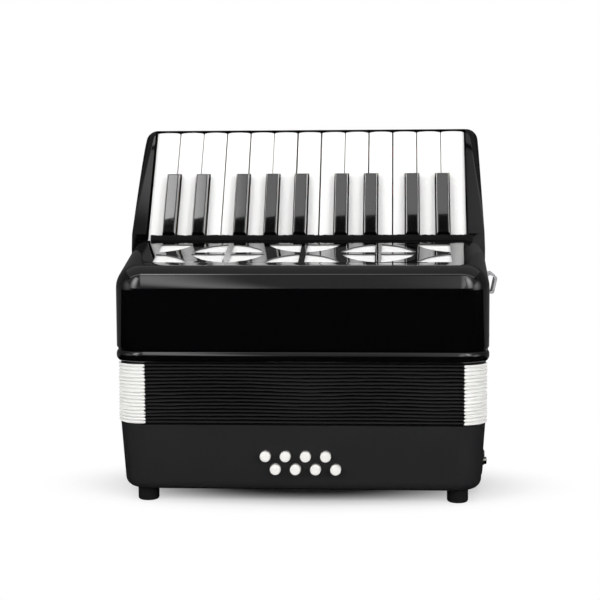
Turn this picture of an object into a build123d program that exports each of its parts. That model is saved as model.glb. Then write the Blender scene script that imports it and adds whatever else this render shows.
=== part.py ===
from build123d import *
import math
import os

# Small piano accordion: 22 treble keys, 8 bass buttons. It stands on its bass end.
# +X runs along the keyboard towards the deep notes, -Y is the audience side, +Z runs
# from the bass box through the bellows to the keys. Millimetres.

# ---------------------------------------------------------------- driving dimensions
casing_width = 300.0       # over the rim bead
casing_depth = 150.0       # rim bead, front to back
foot_height = 11.0
bass_height = 53.5         # bass box without its feet
bellows_closed = 49.1      # between the two casings, closed
rim_height = 10.4
cover_height = 63.3        # rim to where the sloping top would meet the front wall
key_length = 107.5         # white key in sight
black_length = 65.0
top_slope = 13.5           # degrees, grille top rising towards the keys
keyboard_lean = 34.0       # degrees from upright
white_count = 13
button_count = 8
fold_count = 17

# ---------------------------------------------------------------- clearances
running = 0.075            # radial, a lever on its axle
fitted = 0.02              # radial, a screw or pin in its hole
sliding = 0.3              # a loose fit between two casings
soft_gap = 0.3             # cloth, felt and leather clear of what moves beside them
past = 1.0                 # how far a cutting shape runs past what it cuts

# ---------------------------------------------------------------- how the casings step in
bass_set_back = 2.0        # bass box behind the rim bead, front and back
bass_set_in = 3.0          # bass box inside the rim bead, each side
bass_taper = 3.5           # each side, top to bottom
bass_taper_deep = 2.0
bass_wall = 5.0
cover_set_in = 1.0
cover_wall = 3.0
frame_set_in = 0.5
frame_taper = 4.0          # keyboard frame, each side, from its shoulders to its top
keys_behind_cover = 3.115
depth_behind_cover = 63.3  # casing left behind the grille
rim_corner_radius = 25.0
button_stands_out = 4.5

bass_top_width = casing_width - 2 * bass_set_in
bass_bottom_width = bass_top_width - 2 * bass_taper
bass_top_depth = casing_depth - 2 * bass_set_back
bass_bottom_depth = bass_top_depth - 2 * bass_taper_deep
cover_width = casing_width - 2 * cover_set_in
cover_depth = casing_depth - depth_behind_cover
frame_width_low = casing_width - 2 * frame_set_in
frame_width_high = frame_width_low - 2 * frame_taper

# ---------------------------------------------------------------- heights
bass_bottom_z = foot_height
bellows_low = bass_bottom_z + bass_height
bellows_high = bellows_low + bellows_closed
rim_top = bellows_high + rim_height
deck_z = rim_top
top_front_z = rim_top + cover_height
key_root_z = top_front_z + 22.3      # where the white keys come out from under the felt

# ---------------------------------------------------------------- keyboard
slope = math.radians(top_slope)
lean = math.radians(keyboard_lean)
frame_thickness = 20.3     # white key surface to the back of the keyboard frame
frame_corner_radius = 9.0  # the back's top corner is the rearmost point of the instrument
frame_end = 4.0            # the frame goes on past the key tips by this much
cheek_width = 13.825
cheek_rise = 4.0
side_play = 0.8            # between the outer keys and the cheeks
key_gap = 0.8
key_pitch = (frame_width_low - 2 * cheek_width - 2 * side_play) / white_count
key_half_span = white_count * key_pitch / 2
well_half = key_half_span + side_play

# ---------------------------------------------------------------- depths
# The front of the buttons and the back of the keyboard are equally far from Y = 0.
root_behind_rim = cover_set_in + cover_depth + keys_behind_cover
corner_along = key_length + frame_end - frame_corner_radius
corner_below = frame_thickness - frame_corner_radius
back_behind_root = (corner_along * math.sin(lean) + corner_below * math.cos(lean)
                    + frame_corner_radius)
overall_depth = button_stands_out - bass_set_back + root_behind_rim + back_behind_root
rim_front = -overall_depth / 2 + button_stands_out - bass_set_back
rim_back = rim_front + casing_depth
rim_middle = (rim_front + rim_back) / 2
bass_front = rim_front + bass_set_back
bass_middle = bass_front + bass_top_depth / 2
cover_front = rim_front + cover_set_in
cover_back = cover_front + cover_depth
key_root_y = rim_front + root_behind_rim

keyboard = Plane(origin=(0, key_root_y, key_root_z), x_dir=(1, 0, 0),
                 z_dir=(0, -math.cos(lean), math.sin(lean)))
top_plane = Plane(origin=(0, cover_front, top_front_z), x_dir=(1, 0, 0),
                  z_dir=(0, -math.sin(slope), math.cos(slope)))

# ---------------------------------------------------------------- screws, springs, reeds
slot_share = 1.3           # screwdriver slot's length, in head radii
slot_width = 0.7
dome_share = 0.6           # how much of a screw head's height is rounded
wire_radius = 0.3
spring_pitch = 1.6
spring_turns = 4
spring_play = 0.31         # a spring's first turn clear of its pallet
stem_radius = 1.5
pallet_thickness = 2.0
reed_plate_thickness = 1.6
tongue_thickness = 0.3
tongue_width = 1.8
tongue_slot_width = 2.0
tongue_overlap = 1.0       # the riveted end past the slot
rivet_shift = 1.5

parts = {}


def key_point(along, above):
    """Y and Z of a point by its distance along the keys and above their white tops."""
    y = key_root_y + along * math.sin(lean) - above * math.cos(lean)
    z = key_root_z + along * math.cos(lean) + above * math.sin(lean)
    return (y, z)


def top_z(y):
    """Height of the grille's sloping top at a given depth."""
    return top_front_z + (y - cover_front) * math.tan(slope)


def box(x0, x1, y0, y1, z0, z1):
    return Pos((x0 + x1) / 2, (y0 + y1) / 2, (z0 + z1) / 2) * Box(x1 - x0, y1 - y0, z1 - z0)


def slab(width, depth, corner, middle_y, z0, z1):
    """Upright plate with rounded corners in plan, centred on X = 0."""
    return extrude(Pos(0, middle_y, z0) * RectangleRounded(width, depth, corner), z1 - z0)


def side_prism(points, x0, x1):
    """Outline in the YZ plane, carried from x0 to x1."""
    face = make_face(Polyline(*[(0, y, z) for y, z in points], close=True))
    return Pos(x0, 0, 0) * extrude(face, amount=x1 - x0, dir=(1, 0, 0))


def sloping_plate(y0, y1, low, high, half):
    """Plate parallel to the grille's top, between two distances below it."""
    outline = [(y0, top_z(y0) - low), (y1, top_z(y1) - low), (y1, top_z(y1) - high),
               (y0, top_z(y0) - high)]
    return side_prism(outline, -half, half)


def along_x(radius, x0, x1, y, z):
    return Pos((x0 + x1) / 2, y, z) * Rot(0, 90, 0) * Cylinder(radius, x1 - x0)


def along_y(radius, x, y0, y1, z):
    return Pos(x, (y0 + y1) / 2, z) * Rot(90, 0, 0) * Cylinder(radius, y1 - y0)


def on_both_sides(shape):
    return [shape, mirror(shape, Plane.YZ)]


def screw(shank_radius, length, head_radius, head_height):
    """Screw with a domed head, its shank going down from the origin."""
    head = Pos(0, 0, head_height / 2) * Cylinder(head_radius, head_height)
    head = fillet(head.edges().group_by(Axis.Z)[-1], head_height * dome_share)
    head -= Pos(0, 0, head_height) * Box(head_radius * slot_share, slot_width, head_height)
    return head + Pos(0, 0, -length / 2) * Cylinder(shank_radius, length)


def coil(mean_radius, wire, pitch, turns):
    """Spring wound up +Z from the origin."""
    path = Helix(pitch=pitch, height=pitch * turns, radius=mean_radius)
    profile = Plane(origin=path @ 0, z_dir=path % 0) * Circle(wire)
    return sweep(profile, path=path)


def reed_plate(width, length, tongue_length, tongues):
    """Metal plate with two reed slots, its lower face on the origin and its length along Y."""
    slot_x = width / 4 - 0.4
    middle_z = reed_plate_thickness / 2
    plate = Pos(0, 0, middle_z) * Box(width, length, reed_plate_thickness)
    for side in (-1, 1):
        plate -= Pos(side * slot_x, 0, middle_z) * Box(tongue_slot_width, tongue_length,
                                                       reed_plate_thickness)
    pieces = [plate]
    upper = reed_plate_thickness + tongue_thickness / 2
    for side, z in list(zip((1, -1), (upper, -tongue_thickness / 2)))[:tongues]:
        reed = Box(tongue_width, tongue_length + tongue_overlap, tongue_thickness)
        pieces.append(Pos(side * slot_x, -side * rivet_shift, z) * reed)
    return pieces


def save(name, *solids):
    parts[name] = Compound(children=[s for item in solids for s in item.solids()])


# ================================================================ bass section
bass_corner_radius = 22.0
bass_edge_radius = 8.0
ledge = 4.0
ledge_z = bellows_low - 9.0
board_thickness = 4.0
frame_ring_width = 12.0
bass_floor_z = bass_bottom_z + bass_wall

# the removable plate under the bass box, its rebate and its sound slots
plate_width = bass_bottom_width - 81.0
plate_depth = bass_bottom_depth - 74.0
plate_thickness = 3.0
plate_lip = 6.0
plate_corner = 6.0
plate_middle = bass_middle + 4.0
plate_slots = 6
plate_slot_pitch = plate_width / 7.36
plate_slot_length = 30.0
plate_slot_width = 4.0

# bass buttons and the wind chest behind them
button_radius = 4.6
button_height = 10.0
button_edge = 1.2
button_pitch = 16.0
button_travel = 3.5
button_low_z = bass_bottom_z + 18.2
button_high_z = button_low_z + 10.4
button_face = bass_front - button_stands_out
chest_gap = 12.0           # front of the bass box to the chest
chest_wall = 4.0
channel = 9.2
channel_wall = 1.0         # left round the hole above a channel
short_channel = 16.0
long_channel = 30.0
chest_front = bass_front + chest_gap
valve_face = chest_front + chest_wall
valve_hole_radius = 2.8
pallet_radius = 4.3
button_coil_radius = 2.6
bass_reed_width = 7.6
bass_reed_length = 13.0
bass_tongue_length = 7.0
button_xs = [(i - (button_count - 1) / 2) * button_pitch / 2 for i in range(button_count)]
button_spots = [(x, button_low_z if i % 2 else button_high_z) for i, x in enumerate(button_xs)]
channel_exits = [valve_face + (short_channel if z == button_high_z else long_channel)
                 for x, z in button_spots]

# air release button on the side wall
air_y = bass_middle + 37.0
air_z = bass_bottom_z + 29.0
air_radius = 5.0
air_height = 11.0
air_stands_out = 3.8
air_duct_x1 = bass_bottom_width / 2 - 25.5
air_duct_x0 = air_duct_x1 - 24.0
air_duct_half = 9.0
air_duct_wall = 3.0
air_well_half = 6.5
air_outlet_half = 5.0
air_pallet_radius = 5.5
air_hole_radius = 3.4
air_coil_radius = 3.4
air_face = air_duct_x1 - chest_wall

# hand strap
strap_width = 46.0
strap_thickness = 2.5
strap_middle = bass_middle
strap_end_z = bass_bottom_z + 24.0
strap_screw_z = bass_bottom_z + 14.5
strap_screw_ys = [strap_middle - 14.0, strap_middle + 14.0]
strap_screw_radius = 1.6
strap_screw_length = 11.0
strap_hole_depth = 12.0
washer_radius = 3.9
washer_height = 1.2
washer_cone = 0.8
strap_head_height = 1.5
strap_off = 0.4            # the strap lies this far off the box
washer_off = 0.35          # the wall leans, so the washer rests on its lower edge

# feet and the screws through the end cover
foot_radius = 8.5
foot_edge = 2.2
foot_x = bass_bottom_width / 2 - 18.5
foot_in = 21.0
foot_spots = [(x, y) for x in (-foot_x, foot_x) for y in (rim_front + foot_in, rim_back - foot_in)]
foot_screw_radius = 1.6
foot_screw_length = 11.0
foot_screw_recess = 4.5
foot_screw_head = 3.4
foot_head_height = 2.0
cover_screw_radius = 1.6
cover_screw_length = 5.0
cover_screw_head = 2.8
cover_head_height = 1.2
cover_screw_in = 3.2
cover_screw_spots = [(x * (plate_width / 2 - cover_screw_in),
                      plate_middle + y * (plate_depth / 2 - cover_screw_in))
                     for x in (-1, 1) for y in (-1, 1)]


def bass_plan(inset, z):
    """Rounded outline of the tapering bass box at height z, moved inwards."""
    share = (z - bass_bottom_z) / bass_height
    width = bass_bottom_width + (bass_top_width - bass_bottom_width) * share
    depth = bass_bottom_depth + (bass_top_depth - bass_bottom_depth) * share
    outline = RectangleRounded(width - 2 * inset, depth - 2 * inset, bass_corner_radius - inset)
    return Pos(0, bass_middle, z) * outline


def bass_wall_x(z):
    """Half width of the bass box's outside at height z."""
    share = (z - bass_bottom_z) / bass_height
    return (bass_bottom_width + (bass_top_width - bass_bottom_width) * share) / 2


def strap_screw_holes(radius, depth):
    """Holes for the strap's screws in both side walls."""
    holes = []
    wall = bass_wall_x(strap_screw_z)
    for y in strap_screw_ys:
        holes += on_both_sides(along_x(radius, wall - depth, wall + depth, y, strap_screw_z))
    return holes


def bass_box():
    shell = loft([bass_plan(0, bass_bottom_z), bass_plan(0, bellows_low - sliding)])
    shell = fillet(shell.edges().group_by(Axis.Z)[0], bass_edge_radius)
    inner = bass_wall + ledge
    shell -= loft([bass_plan(inner, bass_floor_z), bass_plan(inner, ledge_z)])
    shell -= loft([bass_plan(bass_wall, ledge_z), bass_plan(bass_wall, bellows_low)])
    rebate_top = bass_bottom_z + plate_thickness
    shell -= slab(plate_width + sliding, plate_depth + sliding, plate_corner, plate_middle,
                  bass_bottom_z, rebate_top)
    shell -= slab(plate_width - 2 * plate_lip, plate_depth - 2 * plate_lip, plate_corner,
                  plate_middle, rebate_top, bass_floor_z)
    for x, z in button_spots:
        shell -= along_y(button_radius + sliding, x, bass_front - past, chest_front, z)
    shell -= along_x(air_radius + sliding, air_duct_x1, casing_width / 2, air_y, air_z)
    for hole in strap_screw_holes(strap_screw_radius + fitted, strap_hole_depth):
        shell -= hole
    for x, y in foot_spots:
        shell -= Pos(x, y, bass_floor_z) * Cylinder(foot_screw_radius + fitted, 4 * bass_wall)
    for x, y in cover_screw_spots:
        shell -= Pos(x, y, bass_floor_z) * Cylinder(cover_screw_radius + fitted, 4 * bass_wall)
    return shell


def bass_end_cover():
    plate = slab(plate_width, plate_depth, plate_corner, plate_middle,
                 bass_bottom_z, bass_bottom_z + plate_thickness)
    slot = extrude(SlotOverall(plate_slot_length, plate_slot_width, rotation=90),
                   plate_thickness, both=True)
    for i in range(plate_slots):
        x = (i - (plate_slots - 1) / 2) * plate_slot_pitch
        plate -= Pos(x, plate_middle, bass_bottom_z + plate_thickness / 2) * slot
    for x, y in cover_screw_spots:
        plate -= Pos(x, y, bass_bottom_z) * Cylinder(cover_screw_radius + fitted, 4 * plate_thickness)
    return plate


def rubber_foot(x, y):
    foot = Pos(0, 0, foot_height / 2) * Cylinder(foot_radius, foot_height)
    foot = fillet(foot.edges().group_by(Axis.Z)[0], foot_edge)
    foot -= Pos(0, 0, foot_screw_recess / 2) * Cylinder(foot_screw_head + sliding, foot_screw_recess)
    foot -= Pos(0, 0, foot_height / 2) * Cylinder(foot_screw_radius + fitted, foot_height)
    return Pos(x, y, 0) * foot


def bass_screws():
    up = Rot(180, 0, 0)
    long_screw = up * screw(foot_screw_radius, foot_screw_length, foot_screw_head, foot_head_height)
    short_screw = up * screw(cover_screw_radius, cover_screw_length, cover_screw_head,
                             cover_head_height)
    feet = [Pos(x, y, foot_screw_recess) * long_screw for x, y in foot_spots]
    return feet + [Pos(x, y, bass_bottom_z) * short_screw for x, y in cover_screw_spots]


def bass_soundboard():
    board = extrude(bass_plan(bass_wall + sliding, ledge_z), board_thickness)
    low, high = ledge_z - past, ledge_z + board_thickness + past
    half = channel / 2 - channel_wall
    for (x, z), y in zip(button_spots, channel_exits):
        board -= box(x - half, x + half, y - channel + channel_wall, y - channel_wall, low, high)
    board -= box(air_duct_x0 + chest_wall, air_face - channel_wall, air_y - air_outlet_half,
                 air_y + air_outlet_half, low, high)
    return board


def bass_wind_chest():
    """Block that leads the air of each bass valve up to its own reed plate."""
    half = (button_xs[-1] - button_xs[0]) / 2 + channel / 2 + chest_wall
    low = button_low_z - channel / 2 - chest_wall
    block = box(-half, half, chest_front, valve_face + long_channel + chest_wall, low, ledge_z)
    reach = channel / 2
    for (x, z), y in zip(button_spots, channel_exits):
        block -= box(x - reach, x + reach, valve_face, y, z - reach, z + reach)
        block -= box(x - reach, x + reach, y - channel, y, z - reach, ledge_z)
        block -= along_y(valve_hole_radius, x, chest_front, valve_face, z)
    return block


def air_duct():
    """Small duct under the soundboard that lets the bellows breathe without sounding."""
    low = air_z - air_duct_half
    duct = box(air_duct_x0, air_duct_x1, air_y - air_duct_half, air_y + air_duct_half, low, ledge_z)
    duct -= box(air_duct_x0 + air_duct_wall, air_face, air_y - air_well_half,
                air_y + air_well_half, low + air_duct_wall, ledge_z)
    duct -= along_x(air_hole_radius, air_face, air_duct_x1, air_y, air_z)
    return duct


def bass_reed_plates():
    plates = []
    for (x, z), y in zip(button_spots, channel_exits):
        place = Pos(x, y - channel / 2, ledge_z + board_thickness)
        plate = reed_plate(bass_reed_width, bass_reed_length, bass_tongue_length, 1)
        plates += [place * piece for piece in plate]
    return plates


def bass_button():
    """Button, stem, valve pallet and return spring, pushed along +Y from the origin."""
    cap = along_y(button_radius, 0, 0, button_height, 0)
    cap = fillet(cap.edges().group_by(Axis.Y)[0], button_edge)
    pallet_back = valve_face + pallet_thickness - button_face
    stem = along_y(stem_radius, 0, button_height, pallet_back - pallet_thickness, 0)
    pallet = along_y(pallet_radius, 0, pallet_back - pallet_thickness, pallet_back, 0)
    spring = coil(button_coil_radius, wire_radius, spring_pitch, spring_turns)
    return [cap, stem, pallet, Pos(0, pallet_back + spring_play, 0) * Rot(-90, 0, 0) * spring]


def air_button():
    """Thumb button with its stem, pallet and spring, pushed along -X."""
    face = bass_wall_x(air_z) + air_stands_out
    cap = along_x(air_radius, face - air_height, face, air_y, air_z)
    cap = fillet(cap.edges().group_by(Axis.X)[-1], button_edge)
    stem = along_x(stem_radius, air_face, face - air_height, air_y, air_z)
    pallet_back = air_face - pallet_thickness
    pallet = along_x(air_pallet_radius, pallet_back, air_face, air_y, air_z)
    spring = coil(air_coil_radius, wire_radius, spring_pitch, spring_turns)
    return [cap, stem, pallet,
            Pos(pallet_back - spring_play, air_y, air_z) * Rot(0, -90, 0) * spring]


def bass_bellows_frame():
    low = ledge_z + board_thickness
    outer = bass_plan(bass_wall + sliding, low)
    inner = bass_plan(bass_wall + frame_ring_width, low)
    return extrude(outer, bellows_low - low) - extrude(inner, bellows_low - low)


def hand_strap():
    """Leather strap round the end of the bass box, from one side wall to the other."""
    off = strap_off + strap_thickness / 2
    low = bass_bottom_z - off
    turn_x = bass_wall_x(bass_bottom_z) + off
    end_x = bass_wall_x(strap_end_z) + off
    route = FilletPolyline((-end_x, 0, strap_end_z), (-turn_x, 0, low),
                           (turn_x, 0, low), (end_x, 0, strap_end_z), radius=bass_edge_radius + off)
    band = Pos(0, strap_middle + strap_width / 2, 0) * extrude(
        Plane.XZ * trace(Plane.XZ.to_local_coords(route), strap_thickness), strap_width)
    for hole in strap_screw_holes(strap_screw_radius + sliding, strap_hole_depth):
        band -= hole
    return band


def strap_screws():
    """Two screws with cup washers at each end of the hand strap."""
    pieces = []
    seat = bass_wall_x(strap_screw_z) + strap_off + strap_thickness + washer_off
    for y in strap_screw_ys:
        place = Pos(seat, y, strap_screw_z) * Rot(0, 90, 0)
        washer = Pos(0, 0, washer_height / 2) * Cone(washer_radius, washer_radius - washer_cone,
                                                     washer_height)
        washer -= Cylinder(strap_screw_radius + sliding, 4 * washer_height)
        bolt = Pos(0, 0, washer_height) * screw(strap_screw_radius, strap_screw_length,
                                                washer_radius - washer_cone, strap_head_height)
        pieces += on_both_sides(place * washer) + on_both_sides(place * bolt)
    return pieces


# ================================================================ bellows
bellows_set_in = 2.5
bellows_width = casing_width - 2 * bellows_set_in
bellows_depth = casing_depth - 2 * bellows_set_in
bellows_corner_radius = 20.0
bellows_start = bellows_low + soft_gap
bellows_end = bellows_high - soft_gap
fold_depth = 16.0
pleat_depth = 1.6
corner_thickness = 0.8
corner_reach_x = 22.5      # how far a white corner runs in from the casing's side
corner_reach_y = 23.5


def bellows_plan(inset, z):
    return Pos(0, rim_middle, z) * RectangleRounded(
        bellows_width - 2 * inset, bellows_depth - 2 * inset, bellows_corner_radius - inset)


def bellows():
    """Seventeen folds pressed together: ridges outside, card between."""
    pitch = (bellows_end - bellows_start) / fold_count
    stack = Part()
    for i in range(fold_count):
        z0 = bellows_start + i * pitch
        middle = z0 + pitch / 2
        stack += loft([bellows_plan(pleat_depth, z0), bellows_plan(0, middle)])
        stack += loft([bellows_plan(0, middle), bellows_plan(pleat_depth, z0 + pitch)])
    return stack - extrude(bellows_plan(fold_depth, bellows_start), bellows_end - bellows_start)


def bellows_corners():
    """White cloth gussets round the four corners of the bellows."""
    height = bellows_end - bellows_start
    skin = extrude(bellows_plan(-soft_gap - corner_thickness, bellows_start), height)
    skin -= extrude(bellows_plan(-soft_gap, bellows_start), height)
    inner_x = casing_width / 2 - corner_reach_x
    inner_y = casing_depth / 2 - corner_reach_y
    skin -= box(-inner_x, inner_x, rim_front - past, rim_back + past, bellows_low, bellows_high)
    skin -= box(-casing_width, casing_width, rim_middle - inner_y, rim_middle + inner_y,
                bellows_low, bellows_high)
    return skin


# ================================================================ treble section
deck_thickness = 5.0
recess_top = deck_z - deck_thickness
rim_edge = 4.4
bellows_ring_inset = 6.0
inner_wall = 5.0
box_half = cover_width / 2 - cover_wall - sliding
box_front = cover_front + cover_wall + sliding
window_front = box_front + inner_wall
window_back = cover_back - 8.7
box_back = window_back + inner_wall
soundboard_low = deck_z + 36.0
soundboard_high = soundboard_low + board_thickness

# grille cover
cover_edge_radius = 20.0
cover_corner_radius = 24.0
cover_groove_depth = 0.7
cover_groove_height = 1.2
grille_skin = 1.2          # the top is thinned to this over the cloth
strip_front = cover_back - 3.5
strip_thickness = 2.2
strip_half = key_half_span - 0.4
felt_rise = 3.3            # felt standing above the gloss top
felt_top = 2.6             # its flat top, front to back
flange_thickness = 2.0
flange_ahead = 4.0
flange_behind = 1.8
strip_end_gap = 1.0
ear_width = 6.0
opening_half = well_half + ear_width + strip_end_gap
top_length = (strip_front - cover_front) / math.cos(slope)
pocket_front = cover_front + 0.2 * top_length * math.cos(slope)
pocket_back = strip_front - 6.0
pocket_side = 26.0         # left solid at each side of the grille
pocket_half = cover_width / 2 - pocket_side

# Sound slots: wings about a line across the grille, in groups that open towards the line
# and away from it by turns.
wing_line = 0.555 * top_length
wing_pitch = casing_width / 4.9
wing_gap = 2.5             # half the bar between two wings
wing_length = 0.456 * wing_pitch
wing_depth = 0.26 * top_length
wing_bulge = 0.15

# keys and their action
black_base_width = 10.7
black_top_width = 9.0
black_height = 8.0
black_shoulder = 0.55      # share of the height below the slanted sides
black_gap = 0.9            # between a black key and the white keys beside it
nose_slant = 3.0
nose_radius = 2.0
shoulder_gap = 2.2         # between a black key's nose and the wide part of a white key
wood_set_back = 2.0        # the wood's shoulder behind the plastic one
wood_inset = 0.6
key_thickness = 9.0
key_top_thickness = 1.5
key_top_edge = 0.6
key_lip = 0.4
tip_bulge = 1.7
key_travel = 4.5           # at the tip
felt_thickness = 1.4
travel_depth = key_thickness + key_travel + felt_thickness + 0.7
axle_radius = 1.5
axle_along = -22.0
axle_above = -6.0
axle_y, axle_z = key_point(axle_along, axle_above)
lever_end = -30.0
lever_neck = 6.0           # lever end left beside the coil's room
coil_room_width = 4.6
coil_room_end = axle_along + 8.0
top_under_strip = -24.0    # the white plastic starts here, under the felt
arm_thickness = 2.0
arm_width = 3.0
arm_knee = (6.0, 2.0)      # back and down from the lever before the arm turns to its pallet
arm_foot = 3.0
arm_rise = 4.0
pallet_height = 4.0
pallet_size_x = key_pitch - 5.75
row_pitch = 0.34 * cover_depth
front_row_y = cover_front + 0.29 * cover_depth
back_row_y = front_row_y + row_pitch
pallet_size_y = row_pitch - 3.5
hole_x = pallet_size_x - 6.0
hole_y = pallet_size_y - 6.0
treble_reed_width = key_pitch - 7.75
treble_reed_length = row_pitch - 1.5
treble_tongue_length = treble_reed_length - 13.0

# keyboard frame and back
lip_gap = 0.8
well_top = 80.0            # far enough above the keys to clear the cheeks
cheek_shoulder_z = key_root_z - 10.0
cheek_top_radius = 11.0
front_edge_radius = 3.0
bed_start = -34.0          # lower end of the key bed
back_flat = 11.0           # the back runs beside the keys this far, then drops to its foot
back_foot = (rim_back - 3.0, deck_z)
back_bend = key_point(key_length + frame_end - back_flat, -frame_thickness)
panel_thickness = 3.0
panel_ledge = 5.0
ear_reach = 6.0
ear_low = 8.0
ear_high = 5.0
ear_front_rise = 11.0
ear_wall = 1.5
axle_end_gap = 0.2

# screws and brackets of the treble casing
side_screw_radius = 1.4
side_screw_length = 7.0
side_screw_head = 2.6
side_head_height = 1.2
cover_screw_z = deck_z + 10.0
cover_screws = [(cover_front + share * cover_depth, cover_screw_z) for share in (0.35, 0.76)]
panel_screw_xs = [-0.3 * casing_width, 0.0, 0.3 * casing_width]
panel_foot_y = rim_back - 17.0
bracket_y = rim_back - 26.0
bracket_low = deck_z + 34.0
bracket_width = 24.0
bracket_half = 1.0         # half its thickness
bracket_off = 0.05
bracket_bend = 1.6


def treble_frame():
    """Wooden body: rim bead, deck and the raised box that carries the soundboard."""
    rim = slab(casing_width, casing_depth, rim_corner_radius, rim_middle, bellows_high, rim_top)
    rim = fillet(rim.edges().group_by(Axis.Z)[0] + rim.edges().group_by(Axis.Z)[-1], rim_edge)
    rim -= slab(casing_width - 2 * bellows_ring_inset, casing_depth - 2 * bellows_ring_inset,
                rim_corner_radius - bellows_ring_inset, rim_middle, bellows_high, recess_top)
    corner = cover_corner_radius - cover_wall
    middle = (box_front + box_back) / 2
    body = rim + slab(2 * box_half, box_back - box_front, corner, middle, deck_z, soundboard_low)
    body -= slab(2 * (box_half - inner_wall), window_back - window_front, corner - inner_wall,
                 middle, recess_top, soundboard_low)
    for spot in cover_screws:
        body -= along_x(side_screw_radius + fitted, -casing_width / 2, casing_width / 2, *spot)
    for x in panel_screw_xs:
        body -= Pos(x, panel_foot_y, deck_z) * Cylinder(side_screw_radius + fitted, 2 * side_screw_length)
    return body


def treble_bellows_frame():
    outer = bellows_ring_inset + sliding
    inner = outer + frame_ring_width
    ring = slab(casing_width - 2 * outer, casing_depth - 2 * outer, rim_corner_radius - outer,
                rim_middle, bellows_high, recess_top)
    return ring - slab(casing_width - 2 * inner, casing_depth - 2 * inner,
                       rim_corner_radius - inner, rim_middle, bellows_high, recess_top)


def cover_block(inset, open_by):
    """Solid of the grille cover's outside, or of its inside when moved in by the wall."""
    front = cover_front + inset
    back = cover_back + open_by
    half = cover_width / 2 - inset
    drop = inset / math.cos(slope)
    low = deck_z - open_by
    outline = [(front, low), (front, top_z(front) - drop), (back, top_z(back) - drop), (back, low)]
    block = side_prism(outline, -half, half)
    upright = block.edges().filter_by(Axis.Z).group_by(Axis.Y)[0]
    block = fillet(upright, cover_corner_radius - inset)
    top_face = block.faces().sort_by(Axis.Z)[-1]
    rim_edges = top_face.edges().sort_by(Axis.Y)[:-1]
    return fillet(rim_edges, cover_edge_radius - inset)


def wing(towards_line):
    """One slot in its group's first quarter: a curved side from a tall end to a point."""
    tall = wing_gap + wing_depth
    reach = wing_gap + wing_length
    mid_x = wing_gap + 0.6 * wing_length
    if towards_line:
        start, tip, corner = (wing_gap, tall), (reach, wing_gap), (wing_gap, wing_gap)
        bend = (mid_x, wing_gap + (0.4 + wing_bulge) * wing_depth)
    else:
        start, tip, corner = (wing_gap, wing_gap), (reach, tall), (wing_gap, tall)
        bend = (mid_x, wing_gap + (0.6 - wing_bulge) * wing_depth)
    return make_face(ThreePointArc(start, bend, tip) + Line(tip, corner) + Line(corner, start))


def slot_faces():
    """Sound slots: wings mirrored about the line and about each group's middle."""
    faces = []
    for group in range(-2, 3):
        leaf = wing(towards_line=group % 2 == 1)
        for leaf in (leaf, mirror(leaf, Plane.YZ)):
            outward = leaf.center().X * group > 0
            if abs(group) == 2 and outward:
                continue
            faces += [Pos(group * wing_pitch, wing_line, 0) * each
                      for each in (leaf, mirror(leaf, Plane.XZ))]
    return faces


def grille_cover():
    shell = cover_block(0, 0) - cover_block(cover_wall, cover_wall * 3)
    shell -= sloping_plate(pocket_front, pocket_back, grille_skin, cover_wall + past, pocket_half)
    for face in slot_faces():
        shell -= extrude(top_plane * face, 2 * grille_skin, both=True)
    shell -= sloping_plate(strip_front, cover_back + past, -cover_height,
                           strip_thickness + flange_thickness + past, opening_half)
    shell += sloping_plate(strip_front - flange_ahead, strip_front + flange_behind,
                           strip_thickness, strip_thickness + flange_thickness, opening_half)
    shell -= box(-casing_width, casing_width, rim_front, cover_front + cover_groove_depth,
                 deck_z, deck_z + cover_groove_height)
    for spot in cover_screws:
        shell -= along_x(side_screw_radius + fitted, -casing_width, casing_width, *spot)
    return shell


def grille_cloth():
    """White cloth stretched under the slots."""
    depth = grille_skin + soft_gap
    return sloping_plate(pocket_front + soft_gap, pocket_back - soft_gap, depth,
                         depth + corner_thickness, pocket_half - soft_gap)


def slope_meets_key(below, above):
    """Where a plane under the grille's top meets a plane over the key tops."""
    rise = math.tan(slope)
    reach = math.cos(lean) - math.sin(lean) * rise
    start_y, start_z = key_point(0, above)
    return key_point((top_z(start_y) - below - start_z) / reach, above)


def felt_strip():
    """Soft strip that stands up between the grille and the keys."""
    front = strip_front + soft_gap
    back = front + felt_top
    outline = [(front, top_z(front) - strip_thickness), (front, top_z(front) + felt_rise),
               (back, top_z(back) + felt_rise), slope_meets_key(0, soft_gap),
               slope_meets_key(strip_thickness, soft_gap)]
    return side_prism(outline, -strip_half, strip_half)


# ---------------------------------------------------------------- keys
# Deep G at +X up to E at -X. A black key stands off its gap by the amount given for
# its note, so that three white keys between four blacks keep fingers' room.
note_order = ["G", "A", "B", "C", "D", "E", "F"]
black_after = {"G": -0.8, "A": 4.2, "C": -2.2, "D": 2.2, "F": -4.8}
white_notes = [note_order[i % 7] for i in range(white_count)]


def gap_x(i):
    """X of the gap above the i-th white key, counted from the deep end."""
    return key_half_span - i * key_pitch


black_xs = {i + 1: gap_x(i + 1) - black_after[white_notes[i]]
            for i in range(white_count - 1) if white_notes[i] in black_after}
white_middles = [(gap_x(i) + gap_x(i + 1)) / 2 for i in range(white_count)]
valve_spots = ([(x, front_row_y) for x in white_middles]
               + [(x, back_row_y) for x in black_xs.values()])


def narrow_limits(i):
    """X limits of a white key between its black neighbours."""
    room = black_base_width / 2 + black_gap
    high = gap_x(i) - key_gap / 2
    low = gap_x(i + 1) + key_gap / 2
    if i in black_xs:
        high = black_xs[i] - room
    if i + 1 in black_xs:
        low = black_xs[i + 1] + room
    return low, high


def local_box(x0, x1, along0, along1, above0, above1):
    """Box given along the keys and above their tops."""
    return keyboard.location * box(x0, x1, along0, along1, above0, above1)


def axle_hole(x0, x1):
    return along_x(axle_radius + running, x0, x1, axle_y, axle_z)


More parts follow.
